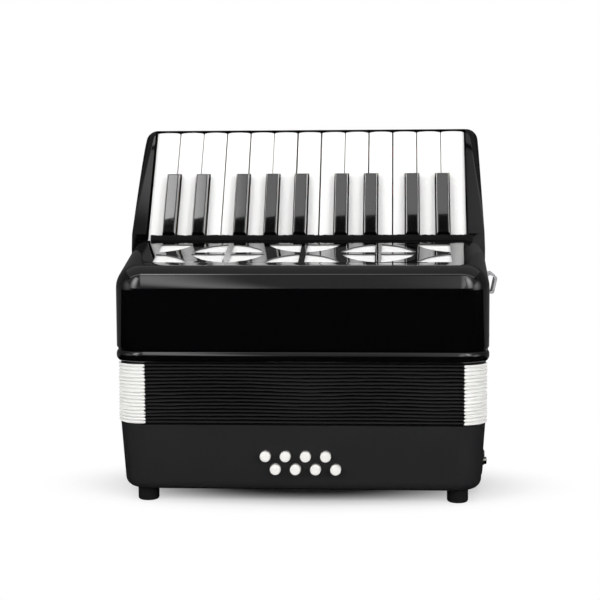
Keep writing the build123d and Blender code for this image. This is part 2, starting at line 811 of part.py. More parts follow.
def coil_room(high):
    """Room beside a lever for its wound spring."""
    return local_box(high - coil_room_width, high + past, lever_end - past, coil_room_end,
                     -key_thickness - past, -key_top_thickness)


def arm_and_pallet(arm_x, pallet_x, row_y):
    """Metal arm from the lever's inner end to the pallet over its hole."""
    start = key_point(lever_end, -key_thickness + 1.5)
    rise = soundboard_high + pallet_height
    half = arm_thickness / 2
    knee_back, knee_down = arm_knee
    path = [start, (start[0] - knee_back, start[1] - knee_down), (row_y, rise + arm_rise)]
    upper = [(y, z + half) for y, z in path]
    lower = [(y, z - half) for y, z in reversed(path)]
    foot = [(row_y - arm_foot, rise + arm_rise + half), (row_y - arm_foot, rise), (row_y, rise)]
    on_lever = [key_point(lever_end, -key_thickness + share * 1.5) for share in (2, 0.2)]
    outline = [on_lever[0]] + upper[1:] + foot + lower[:2] + [on_lever[1]]
    arm = side_prism(outline, arm_x - arm_width / 2, arm_x + arm_width / 2)
    pallet = box(pallet_x - pallet_size_x / 2, pallet_x + pallet_size_x / 2,
                 row_y - pallet_size_y / 2, row_y + pallet_size_y / 2, soundboard_high, rise)
    return [arm, pallet]


def white_plan(i, shoulder, start, tip, bulge):
    """Outline of a white key from above: wide in front, narrow between the black keys."""
    low, high = narrow_limits(i)
    wide_low = gap_x(i + 1) + key_gap / 2
    wide_high = gap_x(i) - key_gap / 2
    middle = (wide_low + wide_high) / 2
    end = tip - bulge
    sides = Polyline((wide_high, end), (wide_high, shoulder), (wide_low, shoulder), (wide_low, end))
    plan = make_face(sides + ThreePointArc((wide_low, end), (middle, tip), (wide_high, end)))
    length = shoulder - start
    return plan + Pos((low + high) / 2, start + length / 2, 0) * Rectangle(high - low, length)


def white_key(i):
    low, high = narrow_limits(i)
    shoulder = black_length + shoulder_gap
    top = extrude(Pos(0, 0, -key_top_thickness) * white_plan(
        i, shoulder, top_under_strip, key_length, tip_bulge), key_top_thickness)
    front_edges = top.edges().group_by(Axis.Z)[-1].sort_by(Axis.Y)[-3:]
    top = keyboard.location * fillet(front_edges, key_top_edge)
    wood = extrude(Pos(0, 0, -key_thickness) * white_plan(
        i, shoulder + wood_set_back, lever_end, key_length - key_lip, tip_bulge),
        key_thickness - key_top_thickness)
    wood = keyboard.location * wood - coil_room(high) - axle_hole(low - past, high + past)
    arm_x = (low + high - coil_room_width) / 2
    return [top, wood] + arm_and_pallet(arm_x, white_middles[i], front_row_y)


def black_key(i):
    x = black_xs[i]
    base = black_base_width / 2
    top = black_top_width / 2
    side = black_height * black_shoulder
    section = make_face(Polyline((-base, 0), (-base, side), (-top, black_height),
                                 (top, black_height), (base, side), (base, 0), close=True))
    cap = Pos(x, 0, 0) * extrude(Plane.XZ * section, -black_length)
    nose = make_face(Polyline((0, black_length - nose_slant, black_height),
                              (0, black_length + past, black_height),
                              (0, black_length + past, 0), (0, black_length, 0), close=True))
    cap -= Pos(x - base, 0, 0) * extrude(nose, amount=2 * base, dir=(1, 0, 0))
    rounded = Pos(x, black_length / 2, 0) * RectangleRounded(2 * base, black_length, nose_radius)
    cap = keyboard.location * (cap & extrude(rounded, black_height))
    half = base - wood_inset
    wood = local_box(x - half, x + half, lever_end, black_length - past, -key_thickness, 0)
    wood -= local_box(x - half, x + half, lever_end - past, 0, -key_top_thickness, past)
    wood = wood - coil_room(x + half) - axle_hole(x - base, x + base)
    return [cap, wood] + arm_and_pallet(x - coil_room_width / 2, x, back_row_y)


def keyboard_frame():
    """Cheeks, key bed and top lip in one glossy casing."""
    front_y = cover_back
    front_along = (front_y - key_root_y + cheek_rise * math.cos(lean)) / math.sin(lean)
    end = key_length + frame_end
    outline = [(front_y, deck_z), (front_y, key_point(front_along, cheek_rise)[1]),
               key_point(end, cheek_rise), key_point(end, -frame_thickness), back_bend,
               back_foot]
    low, high = frame_width_low / 2, frame_width_high / 2
    body = side_prism(outline, -low, low)
    across = body.edges().filter_by(Axis.X).sort_by(Axis.Z)
    body = fillet(across[-1], front_edge_radius)
    rear = body.edges().filter_by(Axis.X).sort_by(Axis.Y)[-1]
    body = fillet(rear, frame_corner_radius)
    top = key_point(end, cheek_rise)[1]
    front_view = make_face(Polyline((-low, 0, deck_z), (-low, 0, cheek_shoulder_z), (-high, 0, top),
                                    (high, 0, top), (low, 0, cheek_shoulder_z), (low, 0, deck_z),
                                    close=True))
    gauge = Pos(0, rim_front, 0) * extrude(front_view, amount=2 * casing_depth, dir=(0, 1, 0))
    gauge = fillet(gauge.edges().filter_by(Axis.Y).group_by(Axis.Z)[-1], cheek_top_radius)
    body = body & gauge
    far = 2 * key_length
    body -= local_box(-well_half, well_half, -far, key_length + lip_gap, -travel_depth, well_top)
    body -= side_prism([key_point(-far, -frame_thickness), back_bend,
                        key_point(end - back_flat, -far), (rim_back + far, 0)],
                       -well_half, well_half)
    body -= side_prism([(front_y - far, 0), (front_y - far, key_root_z),
                        key_point(bed_start, 0), key_point(bed_start, -far)],
                       -well_half, well_half)
    ear = side_prism([(axle_y - ear_reach, axle_z - ear_low), (axle_y - ear_reach, axle_z + ear_high),
                      (front_y, axle_z + ear_front_rise), (front_y, axle_z - ear_low)],
                     well_half, well_half + ear_width)
    for each in on_both_sides(ear):
        body += each
    reach = well_half + ear_width - ear_wall
    return body - along_x(axle_radius + fitted, -reach, reach, axle_y, axle_z)


def back_panel():
    """Plate that closes the back under the keyboard."""
    lean_back = (back_bend[0] - back_foot[0]) / (back_bend[1] - back_foot[1])
    high = (back_bend[0] + lean_back * panel_thickness, back_bend[1] + panel_thickness)
    outline = [back_foot, high, (high[0] - panel_thickness, high[1]),
               (back_foot[0] - panel_thickness, back_foot[1])]
    half = well_half - sliding
    panel = side_prism(outline, -half, half)
    panel += box(-half, half, panel_foot_y - panel_ledge, back_foot[0] - panel_thickness / 2,
                 deck_z, deck_z + panel_ledge)
    panel -= local_box(-half, half, -key_length, key_length, -frame_thickness, key_length)
    for x in panel_screw_xs:
        panel -= Pos(x, panel_foot_y, deck_z) * Cylinder(side_screw_radius + fitted, 3 * panel_ledge)
    return panel


def treble_soundboard():
    board = slab(2 * box_half, box_back - box_front, cover_corner_radius - cover_wall,
                 (box_front + box_back) / 2, soundboard_low, soundboard_high)
    for x, y in valve_spots:
        board -= box(x - hole_x / 2, x + hole_x / 2, y - hole_y / 2, y + hole_y / 2,
                     soundboard_low - past, soundboard_high + past)
    return board


def treble_reed_plates():
    pieces = []
    for x, y in valve_spots:
        place = Pos(x, y, soundboard_low - reed_plate_thickness)
        plate = reed_plate(treble_reed_width, treble_reed_length, treble_tongue_length, 2)
        pieces += [place * piece for piece in plate]
    return pieces


def key_axle():
    reach = well_half + ear_width - ear_wall - axle_end_gap
    return along_x(axle_radius, -reach, reach, axle_y, axle_z)


key_coil_wire = 0.35
key_coil_pitch = 0.85
key_coil_turns = 3


def key_springs():
    """One wound spring on the axle beside each lever."""
    highs = [narrow_limits(i)[1] for i in range(white_count)]
    highs += [x + black_base_width / 2 - wood_inset for x in black_xs.values()]
    wound = coil(axle_radius + 2 * key_coil_wire - 0.1, key_coil_wire, key_coil_pitch, key_coil_turns)
    spare = (coil_room_width - key_coil_pitch * key_coil_turns) / 2
    return [Pos(high - coil_room_width + spare, axle_y, axle_z) * Rot(0, 90, 0) * wound
            for high in highs]


def key_felts():
    """Felt on the key bed that stops the keys at the bottom of their travel."""
    bed = -travel_depth
    return [local_box(-key_half_span, key_half_span, end - width, end, bed, bed + felt_thickness)
            for end, width in ((key_length - 6.0, 12.0), (black_length - 4.0, 10.0))]


def strap_bracket():
    """Bent metal loop on the side wall that holds a shoulder strap."""
    wall = frame_width_low / 2 + bracket_off
    flat = wall + bracket_half
    route = FilletPolyline((flat, 0, bracket_low), (flat, 0, bracket_low + 4.0),
                           (wall + 8.5, 0, bracket_low + 2.0), (wall + 11.3, 0, bracket_low + 15.0),
                           (wall + 7.0, 0, bracket_low + 18.5), (flat, 0, bracket_low + 16.5),
                           (flat, 0, bracket_low + 22.5), radius=bracket_bend)
    strip = extrude(Plane.XZ * trace(Plane.XZ.to_local_coords(route), 2 * bracket_half), bracket_width)
    return Pos(0, bracket_y + bracket_width / 2, 0) * strip


def treble_screws():
    one = screw(side_screw_radius, side_screw_length, side_screw_head, side_head_height)
    pieces = []
    for y, z in cover_screws:
        pieces += on_both_sides(Pos(cover_width / 2, y, z) * Rot(0, 90, 0) * one)
    return pieces + [Pos(x, panel_foot_y, deck_z + panel_ledge) * one for x in panel_screw_xs]


# ================================================================ assembly
save("bass_box", bass_box())
save("bass_end_cover", bass_end_cover())
save("rubber_feet", *[rubber_foot(x, y) for x, y in foot_spots])
save("bass_screws", *bass_screws())
save("bass_soundboard", bass_soundboard())
save("bass_wind_chest", bass_wind_chest())
save("air_duct", air_duct())
save("bass_reed_plates", *bass_reed_plates())
save("bass_bellows_frame", bass_bellows_frame())
save("hand_strap", hand_strap())
save("strap_screws", *strap_screws())
for number, (x, z) in enumerate(button_spots, start=1):
    save(f"bass_button_{number}", *[Pos(x, button_face, z) * piece for piece in bass_button()])
save("air_button", *air_button())
save("bellows", bellows())
save("bellows_corners", bellows_corners())
save("treble_frame", treble_frame())
save("treble_bellows_frame", treble_bellows_frame())
save("grille_cover", grille_cover())
save("grille_cloth", grille_cloth())
save("felt_strip", felt_strip())
save("treble_soundboard", treble_soundboard())
save("treble_reed_plates", *treble_reed_plates())
save("keyboard_frame", keyboard_frame())
save("back_panel", back_panel())
save("key_axle", key_axle())
save("key_springs", *key_springs())
save("key_felts", *key_felts())
save("strap_brackets", *on_both_sides(strap_bracket()))
save("treble_screws", *treble_screws())
for number in range(white_count):
    save(f"white_key_{number + 1:02d}", *white_key(number))
for number, gap in enumerate(black_xs, start=1):
    save(f"black_key_{number}", *black_key(gap))

os.makedirs("parts", exist_ok=True)
for name, shape in parts.items():
    export_step(shape, f"parts/{name}.step")
    size = shape.bounding_box()
    print(f"{name}: {len(shape.solids())} solids, y {size.min.Y:.1f} to {size.max.Y:.1f},"
          f" z {size.min.Z:.1f} to {size.max.Z:.1f}")
everything = Compound(children=list(parts.values())).bounding_box()
print("whole", everything.min, everything.max)
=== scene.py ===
# %% [markdown]
# # Small piano accordion
# The instrument stands on its bass end: a satin black bass box with eight buttons, the
# folded bellows, and above them the glossy treble casing with its grille and keyboard.
# The solids come in first as a fixed frame, so every piece made here can be placed by them.

# %% Load the frame
import math

import bmesh
import bpy
from mathutils import Matrix, Vector, noise


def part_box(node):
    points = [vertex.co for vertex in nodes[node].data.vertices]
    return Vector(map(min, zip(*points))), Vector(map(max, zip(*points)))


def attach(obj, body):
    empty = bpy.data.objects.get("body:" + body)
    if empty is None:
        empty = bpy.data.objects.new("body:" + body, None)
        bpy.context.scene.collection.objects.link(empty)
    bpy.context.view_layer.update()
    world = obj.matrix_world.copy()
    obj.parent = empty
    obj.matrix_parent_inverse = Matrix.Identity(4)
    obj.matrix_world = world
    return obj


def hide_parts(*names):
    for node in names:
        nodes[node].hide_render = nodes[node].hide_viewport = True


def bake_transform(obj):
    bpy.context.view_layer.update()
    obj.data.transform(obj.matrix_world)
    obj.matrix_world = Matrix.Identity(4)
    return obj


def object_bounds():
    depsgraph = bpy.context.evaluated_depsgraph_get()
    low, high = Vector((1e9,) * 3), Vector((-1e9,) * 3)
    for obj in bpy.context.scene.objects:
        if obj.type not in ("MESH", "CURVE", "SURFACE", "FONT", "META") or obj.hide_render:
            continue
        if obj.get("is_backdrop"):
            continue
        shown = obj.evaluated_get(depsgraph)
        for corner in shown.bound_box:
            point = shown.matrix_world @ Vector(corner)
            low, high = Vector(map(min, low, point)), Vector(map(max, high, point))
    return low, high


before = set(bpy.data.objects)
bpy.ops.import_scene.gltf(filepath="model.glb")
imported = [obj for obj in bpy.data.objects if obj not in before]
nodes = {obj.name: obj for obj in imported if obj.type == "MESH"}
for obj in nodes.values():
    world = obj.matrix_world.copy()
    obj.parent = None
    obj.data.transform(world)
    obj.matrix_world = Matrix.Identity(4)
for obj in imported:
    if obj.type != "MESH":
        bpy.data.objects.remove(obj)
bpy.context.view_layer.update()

MM = 0.001
scene = bpy.context.scene

# %% [markdown]
# ## From a mesh to a piece
# All shapes below are modelled in millimetres, because that is how an instrument maker
# measures them. One helper scales a finished mesh to metres, shades it smooth up to a
# crease angle, and lets it ride on its body. Nothing is moved afterwards: a piece's place
# is in its mesh, so a pattern on Object coordinates stays where it was put.

# %% A mesh becomes a piece
def put(name, bm, finish, body=None, stands_for=(), crease=35, weighted=False):
    """Makes a piece out of a mesh in millimetres and lets it ride on its body."""
    bmesh.ops.recalc_face_normals(bm, faces=bm.faces)
    bmesh.ops.scale(bm, vec=(MM, MM, MM), verts=bm.verts)
    mesh = bpy.data.meshes.new(name)
    bm.to_mesh(mesh)
    bm.free()
    for each in finish if isinstance(finish, (list, tuple)) else [finish]:
        mesh.materials.append(each)
    mesh.shade_smooth()
    mesh.set_sharp_from_angle(angle=math.radians(crease))
    piece = bpy.data.objects.new(name, mesh)
    scene.collection.objects.link(piece)
    if weighted:
        piece.modifiers.new("flat_faces", "WEIGHTED_NORMAL").keep_sharp = True
    if body:
        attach(piece, body)
    if stands_for:
        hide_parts(*stands_for)
    return piece


# %% [markdown]
# ## Blocks, rounded edges and cuts
# Most of an accordion is sawn from board, so most pieces start as an outline that is
# extruded to a block. Its edges are picked by where they lie, not by number, and rounded
# with a bevel. Wells, slots and notches are cut out with exact booleans, which keep the
# flat faces flat.

# %% Blocks, bevels and cuts
def block(bm, outline, low, high, place=Matrix(), material=0):
    """Closed block: a flat outline in x and y, from low to high, then moved into place."""
    verts = [bm.verts.new((x, y, low)) for x, y in outline]
    base = bm.faces.new(verts)
    lid = bmesh.ops.extrude_face_region(bm, geom=[base])["geom"]
    lid_verts = [v for v in lid if isinstance(v, bmesh.types.BMVert)]
    bmesh.ops.translate(bm, vec=(0, 0, high - low), verts=lid_verts)
    made = verts + lid_verts
    bmesh.ops.transform(bm, matrix=place, verts=made)
    for face in {f for v in made for f in v.link_faces}:
        face.material_index = material
    return made


# A side outline is drawn in depth and height, and runs along x.
SIDEWAYS = Matrix(((0, 0, 1, 0), (1, 0, 0, 0), (0, 1, 0, 0), (0, 0, 0, 1)))


def bevel(bm, edges, width, segments=3):
    """Rounds edges."""
    return bmesh.ops.bevel(bm, geom=edges, offset=width, offset_type="OFFSET", affect="EDGES",
                           segments=segments, profile=0.5, clamp_overlap=True, material=-1)


def edges_where(bm, test):
    """Edges whose two ends both pass a test."""
    return [e for e in bm.edges if all(test(v.co) for v in e.verts)]


def sharp(edge, degrees=25):
    """True for an edge where two faces meet at more than an angle."""
    return len(edge.link_faces) == 2 and edge.calc_face_angle(0) > math.radians(degrees)


def cut_through(bm, point, normal):
    """Throws away all that lies beyond a plane."""
    bmesh.ops.bisect_plane(bm, geom=bm.verts[:] + bm.edges[:] + bm.faces[:], clear_outer=True,
                           plane_co=point, plane_no=normal)


def in_order(bm):
    """The same mesh with its points and faces sorted by place, so that every run agrees."""
    points = sorted(bm.verts, key=lambda v: v.co[:])
    rank = {v: i for i, v in enumerate(points)}
    rings = []
    for face in bm.faces:
        ring = [rank[v] for v in face.verts]
        first = ring.index(max(ring))
        rings.append(ring[first:] + ring[:first])
    ordered = bmesh.new()
    made = [ordered.verts.new(v.co) for v in points]
    for ring in sorted(rings):
        ordered.faces.new([made[i] for i in ring])
    ordered.normal_update()
    bm.free()
    return ordered


def carve(bm, *cutters):
    """Takes cutter meshes away from a mesh with exact booleans."""
    def as_object(shape, name):
        mesh = bpy.data.meshes.new(name)
        bmesh.ops.recalc_face_normals(shape, faces=shape.faces)
        shape.to_mesh(mesh)
        shape.free()
        thing = bpy.data.objects.new(name, mesh)
        scene.collection.objects.link(thing)
        return thing

    body = as_object(bm, "carved")
    tools = [as_object(cutter, f"cutter_{i}") for i, cutter in enumerate(cutters)]
    for tool in tools:
        cut = body.modifiers.new(tool.name, "BOOLEAN")
        cut.operation = "DIFFERENCE"
        cut.solver = "EXACT"
        cut.object = tool
    done = bmesh.new()
    done.from_object(body, bpy.context.evaluated_depsgraph_get())
    for thing in (body, *tools):
        mesh = thing.data
        bpy.data.objects.remove(thing)
        bpy.data.meshes.remove(mesh)
    bmesh.ops.remove_doubles(done, verts=done.verts, dist=0.001)
    return done


# %% [markdown]
# ## Skins and turned shapes
# Soft things have no sawn outline. Their rows of points are set out and joined by
# a skin of quads. Buttons and pallets are turned: half a section is spun round its axis.
# A spring is the same idea, a small ring of wire spun upwards.

# %% Skins and turned shapes
QUARTERS = [(1, 1), (-1, 1), (-1, -1), (1, -1)]


def rounded_ring(width, depth, corner, middle_y, steps, spacing):
    """Points and outward directions round a rectangle with round corners, from +X over +Y."""
    axes = [Vector((sx * (width / 2 - corner), middle_y + sy * (depth / 2 - corner)))
            for sx, sy in QUARTERS]
    ring = []
    for quarter in range(4):
        for step in range(steps + 1):
            angle = math.pi / 2 * (quarter + step / steps)
            out = Vector((math.cos(angle), math.sin(angle)))
            ring.append((axes[quarter] + corner * out, out))
        start, end = ring[-1][0], axes[(quarter + 1) % 4] + corner * out
        count = max(1, round((end - start).length / spacing))
        ring += [(start.lerp(end, k / count), out) for k in range(1, count)]
    return ring


def skin(bm, rows, round_rows=True, close_stack=False, material=0):
    """Quads between rows of points that all have the same count."""
    grid = [[bm.verts.new(p) for p in row] for row in rows]
    stack = grid + [grid[0]] if close_stack else grid
    for lower, upper in zip(stack, stack[1:]):
        count = len(lower)
        for i in range(count if round_rows else count - 1):
            j = (i + 1) % count
            face = bm.faces.new((lower[i], lower[j], upper[j], upper[i]))
            face.material_index = material
    return grid


def closed_skin(bm, rows, material=0):
    """Skin round a stack of rows, with a lid on each end."""
    grid = skin(bm, rows, material=material)
    for ends in (grid[0], grid[-1]):
        bm.faces.new(ends).material_index = material


def spun(bm, line, turn, steps, rise, place, material, full):
    """Spins a line or ring round Z, closes its open ends, then moves it into place."""
    others = set(bm.verts) - set(line)
    edges = list({e for v in line for e in v.link_edges})
    bmesh.ops.spin(bm, geom=line + edges, axis=(0, 0, 1), cent=(0, 0, 0), angle=turn,
                   steps=steps, dvec=(0, 0, rise / steps), use_merge=full)
    made = [v for v in bm.verts if v not in others]
    rims = {e for v in made for e in v.link_edges if e.is_boundary}
    bmesh.ops.holes_fill(bm, edges=list(rims), sides=0)
    bmesh.ops.transform(bm, matrix=place, verts=made)
    for face in {f for v in made for f in v.link_faces}:
        face.material_index = material
    return made


def lathe(bm, profile, place=Matrix(), steps=40, material=0):
    """Closed turned shape: radius and height along Z, from axis to axis."""
    line = [bm.verts.new((radius, 0, height)) for radius, height in profile]
    for ends in zip(line, line[1:]):
        bm.edges.new(ends)
    return spun(bm, line, math.tau, steps, 0.0, place, material, full=True)


def grain(x, y, z, size):
    """Smooth wander between about -1 and 1, with hills as wide as size."""
    return noise.noise(Vector((x / size, y / size, z / size)))


# %% [markdown]
# ## Camera
# A long lens from a little above the middle, turned a few degrees, so that the front
# reads square and the keys lean away.

# %% Camera
camera_data = bpy.data.cameras.new("camera")
camera_data.sensor_width = 36.0
camera_data.lens = 87.56
camera = bpy.data.objects.new("camera", camera_data)
camera.location = (0.0762, -1.2193, 0.2710)
aim = (Matrix.Rotation(math.radians(3.81), 3, "Z") @ Matrix.Rotation(math.radians(90 - 5.34), 3, "X")
       @ Matrix.Rotation(math.radians(-0.31), 3, "Z"))
camera.rotation_euler = aim.to_euler()
scene.collection.objects.link(camera)
scene.camera = camera
scene.view_settings.view_transform = "Standard"
print("camera", round(camera.location.length, 3), "m from the foot,", round(camera_data.lens, 2), "mm lens")

# %% [markdown]
# ## Studio
# Gloss black shows nothing but its surroundings, so the surroundings are half of the
# finish. The room is white along the horizon and grows dim overhead. Lamps give the plain
# light and stay out of the reflections. What the gloss mirrors is set with cards, which
# come last: a dark one before the object, and a bright strip above it.
#
# The world's own light is plain white seen straight or in a mirror, and about half as
# strong on matt surfaces, so that the lamps shape them.

# %% Node helpers
def any_ray(tree, *kinds):
    """1 for rays of the given kinds, 0 for the others."""
    path = tree.nodes.new("ShaderNodeLightPath")
    total = path.outputs[kinds[0]]
    for kind in kinds[1:]:
        larger = tree.nodes.new("ShaderNodeMath")
        larger.operation = "MAXIMUM"
        tree.links.new(total, larger.inputs[0])
        tree.links.new(path.outputs[kind], larger.inputs[1])
        total = larger.outputs[0]
    return total


def ramp_value(tree, value, start, end, low, high):
    """Smooth change from low to high as a value goes from start to end."""
    node = tree.nodes.new("ShaderNodeMapRange")
    node.interpolation_type = "SMOOTHSTEP"
    for socket, number in (("From Min", start), ("From Max", end), ("To Min", low), ("To Max", high)):
        node.inputs[socket].default_value = number
    tree.links.new(value, node.inputs["Value"])
    return node.outputs["Result"]


def multiplied(tree, first, second):
    """Product of two values."""
    node = tree.nodes.new("ShaderNodeMath")
    node.operation = "MULTIPLY"
    tree.links.new(first, node.inputs[0])
    tree.links.new(second, node.inputs[1])
    return node.outputs[0]


SEEN = ("Is Camera Ray", "Is Glossy Ray", "Is Transmission Ray")

# %% World
world = bpy.data.worlds.new("studio")
world.use_nodes = True
scene.world = world
tree = world.node_tree
tree.nodes.clear()
direction = tree.nodes.new("ShaderNodeTexCoord")
split = tree.nodes.new("ShaderNodeSeparateXYZ")
tree.links.new(direction.outputs["Generated"], split.inputs[0])
dimming = ramp_value(tree, split.outputs["Z"], 0.25, 0.65, 1.0, 0.17)
level = ramp_value(tree, any_ray(tree, *SEEN), 0.0, 1.0, 0.55, 1.0)
sky = tree.nodes.new("ShaderNodeBackground")
sky.inputs["Color"].default_value = (1, 1, 1, 1)
tree.links.new(multiplied(tree, dimming, level), sky.inputs["Strength"])
out = tree.nodes.new("ShaderNodeOutputWorld")
tree.links.new(sky.outputs[0], out.inputs["Surface"])
print("world:", len(tree.nodes), "nodes")

# %% [markdown]
# Three softboxes: a large one overhead, which makes the soft shadow under the bass box,
# and two weaker ones to the left and right of the front. Gloss mirrors none of them,
# because a lamp's hard edge would show in every black face.

# %% Lamps
def softbox(name, place, aim, width, height, power):
    """Rectangular lamp that looks at a point and isn't mirrored."""
    data = bpy.data.lights.new(name, "AREA")
    data.shape = "RECTANGLE"
    data.size = width
    data.size_y = height
    data.energy = power
    lamp = bpy.data.objects.new(name, data)
    lamp.location = place
    lamp.rotation_euler = (Vector(aim) - Vector(place)).to_track_quat("-Z", "Y").to_euler()
    lamp.visible_glossy = False
    scene.collection.objects.link(lamp)
    return lamp


heart = (0, 0, 0.15)
lamps = [softbox("overhead", (0.0, 0.05, 1.5), heart, 1.7, 1.15, 14.5),
         softbox("front_left", (-1.2, -1.3, 0.9), heart, 0.8, 0.8, 16.5),
         softbox("front_right", (1.2, -1.3, 0.8), heart, 0.8, 0.8, 15.5)]
print("lamps:", {lamp.name: lamp.data.energy for lamp in lamps}, "W")

# %% [markdown]
# ## Finishes
# Each finish is a Principled shader with a few nodes for what the eye expects: the faint
# orange peel of polished celluloid, the tooth of satin paint, the weave of cloth.

# %% Finish helpers
def finish(name, colour, roughness, **sockets):
    """Principled material whose plain values sit on the shader's own sockets."""
    material = bpy.data.materials.new(name)
    material.use_nodes = True
    shader = material.node_tree.nodes["Principled BSDF"]
    shader.inputs["Base Color"].default_value = (*colour, 1)
    shader.inputs["Roughness"].default_value = roughness
    for socket, value in sockets.items():
        shader.inputs[socket.replace("_", " ")].default_value = value
    print("finish", name, "of roughness", roughness)
    return material


def add_noise(material, scale, detail=3.0, stretch=(1, 1, 1)):
    """Noise on Object coordinates, in cells per metre."""
    tree = material.node_tree
    place = tree.nodes.new("ShaderNodeTexCoord")
    turn = tree.nodes.new("ShaderNodeMapping")
    turn.inputs["Scale"].default_value = stretch
    tree.links.new(place.outputs["Object"], turn.inputs["Vector"])
    cells = tree.nodes.new("ShaderNodeTexNoise")
    cells.inputs["Scale"].default_value = scale
    cells.inputs["Detail"].default_value = detail
    tree.links.new(turn.outputs[0], cells.inputs["Vector"])
    return cells.outputs["Fac"]


def span(material, value, low, high, start=0.3, end=0.7):
    """Maps a pattern from start..end to low..high."""
    tree = material.node_tree
    node = tree.nodes.new("ShaderNodeMapRange")
    node.inputs["From Min"].default_value = start
    node.inputs["From Max"].default_value = end
    node.inputs["To Min"].default_value = low
    node.inputs["To Max"].default_value = high
    tree.links.new(value, node.inputs["Value"])
    return node.outputs["Result"]


def vary_roughness(material, value, low, high):
    """Roughness that follows a pattern."""
    shader = material.node_tree.nodes["Principled BSDF"]
    material.node_tree.links.new(span(material, value, low, high), shader.inputs["Roughness"])


def vary_colour(material, value, dark, light, start=0.3, end=0.7):
    """Colour that follows a pattern."""
    tree = material.node_tree
    ramp = tree.nodes.new("ShaderNodeMix")
    ramp.data_type = "RGBA"
    ramp.inputs["A"].default_value = (*dark, 1)
    ramp.inputs["B"].default_value = (*light, 1)
    tree.links.new(span(material, value, 0, 1, start, end), ramp.inputs["Factor"])
    tree.links.new(ramp.outputs["Result"], tree.nodes["Principled BSDF"].inputs["Base Color"])


def bump(material, value, depth_mm, strength=1.0):
    """Bump whose full swing stands for a real depth."""
    tree = material.node_tree
    shader = tree.nodes["Principled BSDF"]
    node = tree.nodes.new("ShaderNodeBump")
    node.inputs["Distance"].default_value = depth_mm * MM
    node.inputs["Strength"].default_value = strength
    tree.links.new(value, node.inputs["Height"])
    if shader.inputs["Normal"].is_linked:
        tree.links.new(shader.inputs["Normal"].links[0].from_socket, node.inputs["Normal"])
    tree.links.new(node.outputs[0], shader.inputs["Normal"])


# %% [markdown]
# ## Black finishes
# Celluloid is cast in thin sheets, glued over the wood and buffed, so it is black glass
# with a slow ripple and a faint haze where hands have been. The keyboard's casing has
# less of a shine than the hood, so it goes without the clear coat. The bass box is
# lacquered satin, with the fine tooth of sprayed paint.

# %% Black finishes
gloss_black = finish("gloss_black", (0.0015, 0.0015, 0.0018), 0.05, IOR=1.65, Coat_Weight=1.0,
                     Coat_Roughness=0.02, Coat_IOR=1.65)
bump(gloss_black, add_noise(gloss_black, 70, 1.0), 0.02, 0.3)
vary_roughness(gloss_black, add_noise(gloss_black, 24, 4.0), 0.04, 0.09)

end_black = finish("end_black", (0.0015, 0.0015, 0.0018), 0.06, IOR=1.65)
bump(end_black, add_noise(end_black, 70, 1.0), 0.02, 0.3)
vary_roughness(end_black, add_noise(end_black, 24, 4.0), 0.05, 0.1)

satin_black = finish("satin_black", (0.0145, 0.0145, 0.0155), 0.42)
bump(satin_black, add_noise(satin_black, 1500, 2.0), 0.03, 0.5)
vary_roughness(satin_black, add_noise(satin_black, 30, 4.0), 0.34, 0.46)

black_plastic = finish("black_plastic", (0.003, 0.003, 0.003), 0.04, IOR=1.9, Coat_Weight=1.0,
                       Coat_Roughness=0.015, Coat_IOR=1.9)
vary_roughness(black_plastic, add_noise(black_plastic, 160, 4.0), 0.02, 0.05)

rubber = finish("rubber", (0.005, 0.005, 0.005), 0.75)
bump(rubber, add_noise(rubber, 900, 3.0), 0.05, 0.6)

# %% [markdown]
# ## White finishes
# Key tops and buttons are moulded plastic. The keys are a neutral white; the buttons are
# a little creamier and duller, because fingers rub them less.

# %% White finishes
white_plastic = finish("white_plastic", (0.84, 0.84, 0.83), 0.22)
vary_roughness(white_plastic, add_noise(white_plastic, 120, 4.0), 0.16, 0.28)

button_white = finish("button_white", (0.80, 0.79, 0.76), 0.25)
vary_roughness(button_white, add_noise(button_white, 300, 3.0), 0.2, 0.3)

# %% [markdown]
# ## Cloth, felt and leather
# These are rough through and through. A bump of a few hundredths of a millimetre gives
# cloth its weave; felt has a coarser one, and leather shows its grain.

# %% Cloth, felt and leather
white_cloth = finish("white_cloth", (0.78, 0.78, 0.76), 0.85)
bump(white_cloth, add_noise(white_cloth, 1800, 2.0), 0.08, 0.7)

black_cloth = finish("black_cloth", (0.017, 0.017, 0.018), 0.85)
bump(black_cloth, add_noise(black_cloth, 1800, 2.0), 0.08, 0.7)

grille_white = finish("grille_white", (0.80, 0.80, 0.79), 0.9)
bump(grille_white, add_noise(grille_white, 900, 3.0), 0.2, 0.9)

black_felt = finish("black_felt", (0.004, 0.004, 0.004), 0.98)
bump(black_felt, add_noise(black_felt, 1200, 4.0), 0.25, 1.0)

red_felt = finish("red_felt", (0.28, 0.02, 0.02), 0.98)
bump(red_felt, add_noise(red_felt, 1200, 4.0), 0.25, 1.0)

leather = finish("leather", (0.008, 0.0075, 0.007), 0.5)
bump(leather, add_noise(leather, 700, 4.0), 0.12, 0.8)

pallet_leather = finish("pallet_leather", (0.55, 0.42, 0.30), 0.8)
bump(pallet_leather, add_noise(pallet_leather, 1500, 3.0), 0.1, 0.8)

thread_grey = finish("thread_grey", (0.10, 0.10, 0.10), 0.7)
bump(thread_grey, add_noise(thread_grey, 3000, 2.0), 0.05, 0.6)

# %% [markdown]
# ## Wood and metal
# The inside is bare wood, with its grain stretched along the boards. Screws, springs and
# fittings are bright metal that handling has dulled in places.

# %% Wood and metal
wood = finish("wood", (0.40, 0.25, 0.13), 0.55)
vary_colour(wood, add_noise(wood, 60, 4.0, (0.12, 1, 1)), (0.26, 0.15, 0.07), (0.50, 0.33, 0.18))

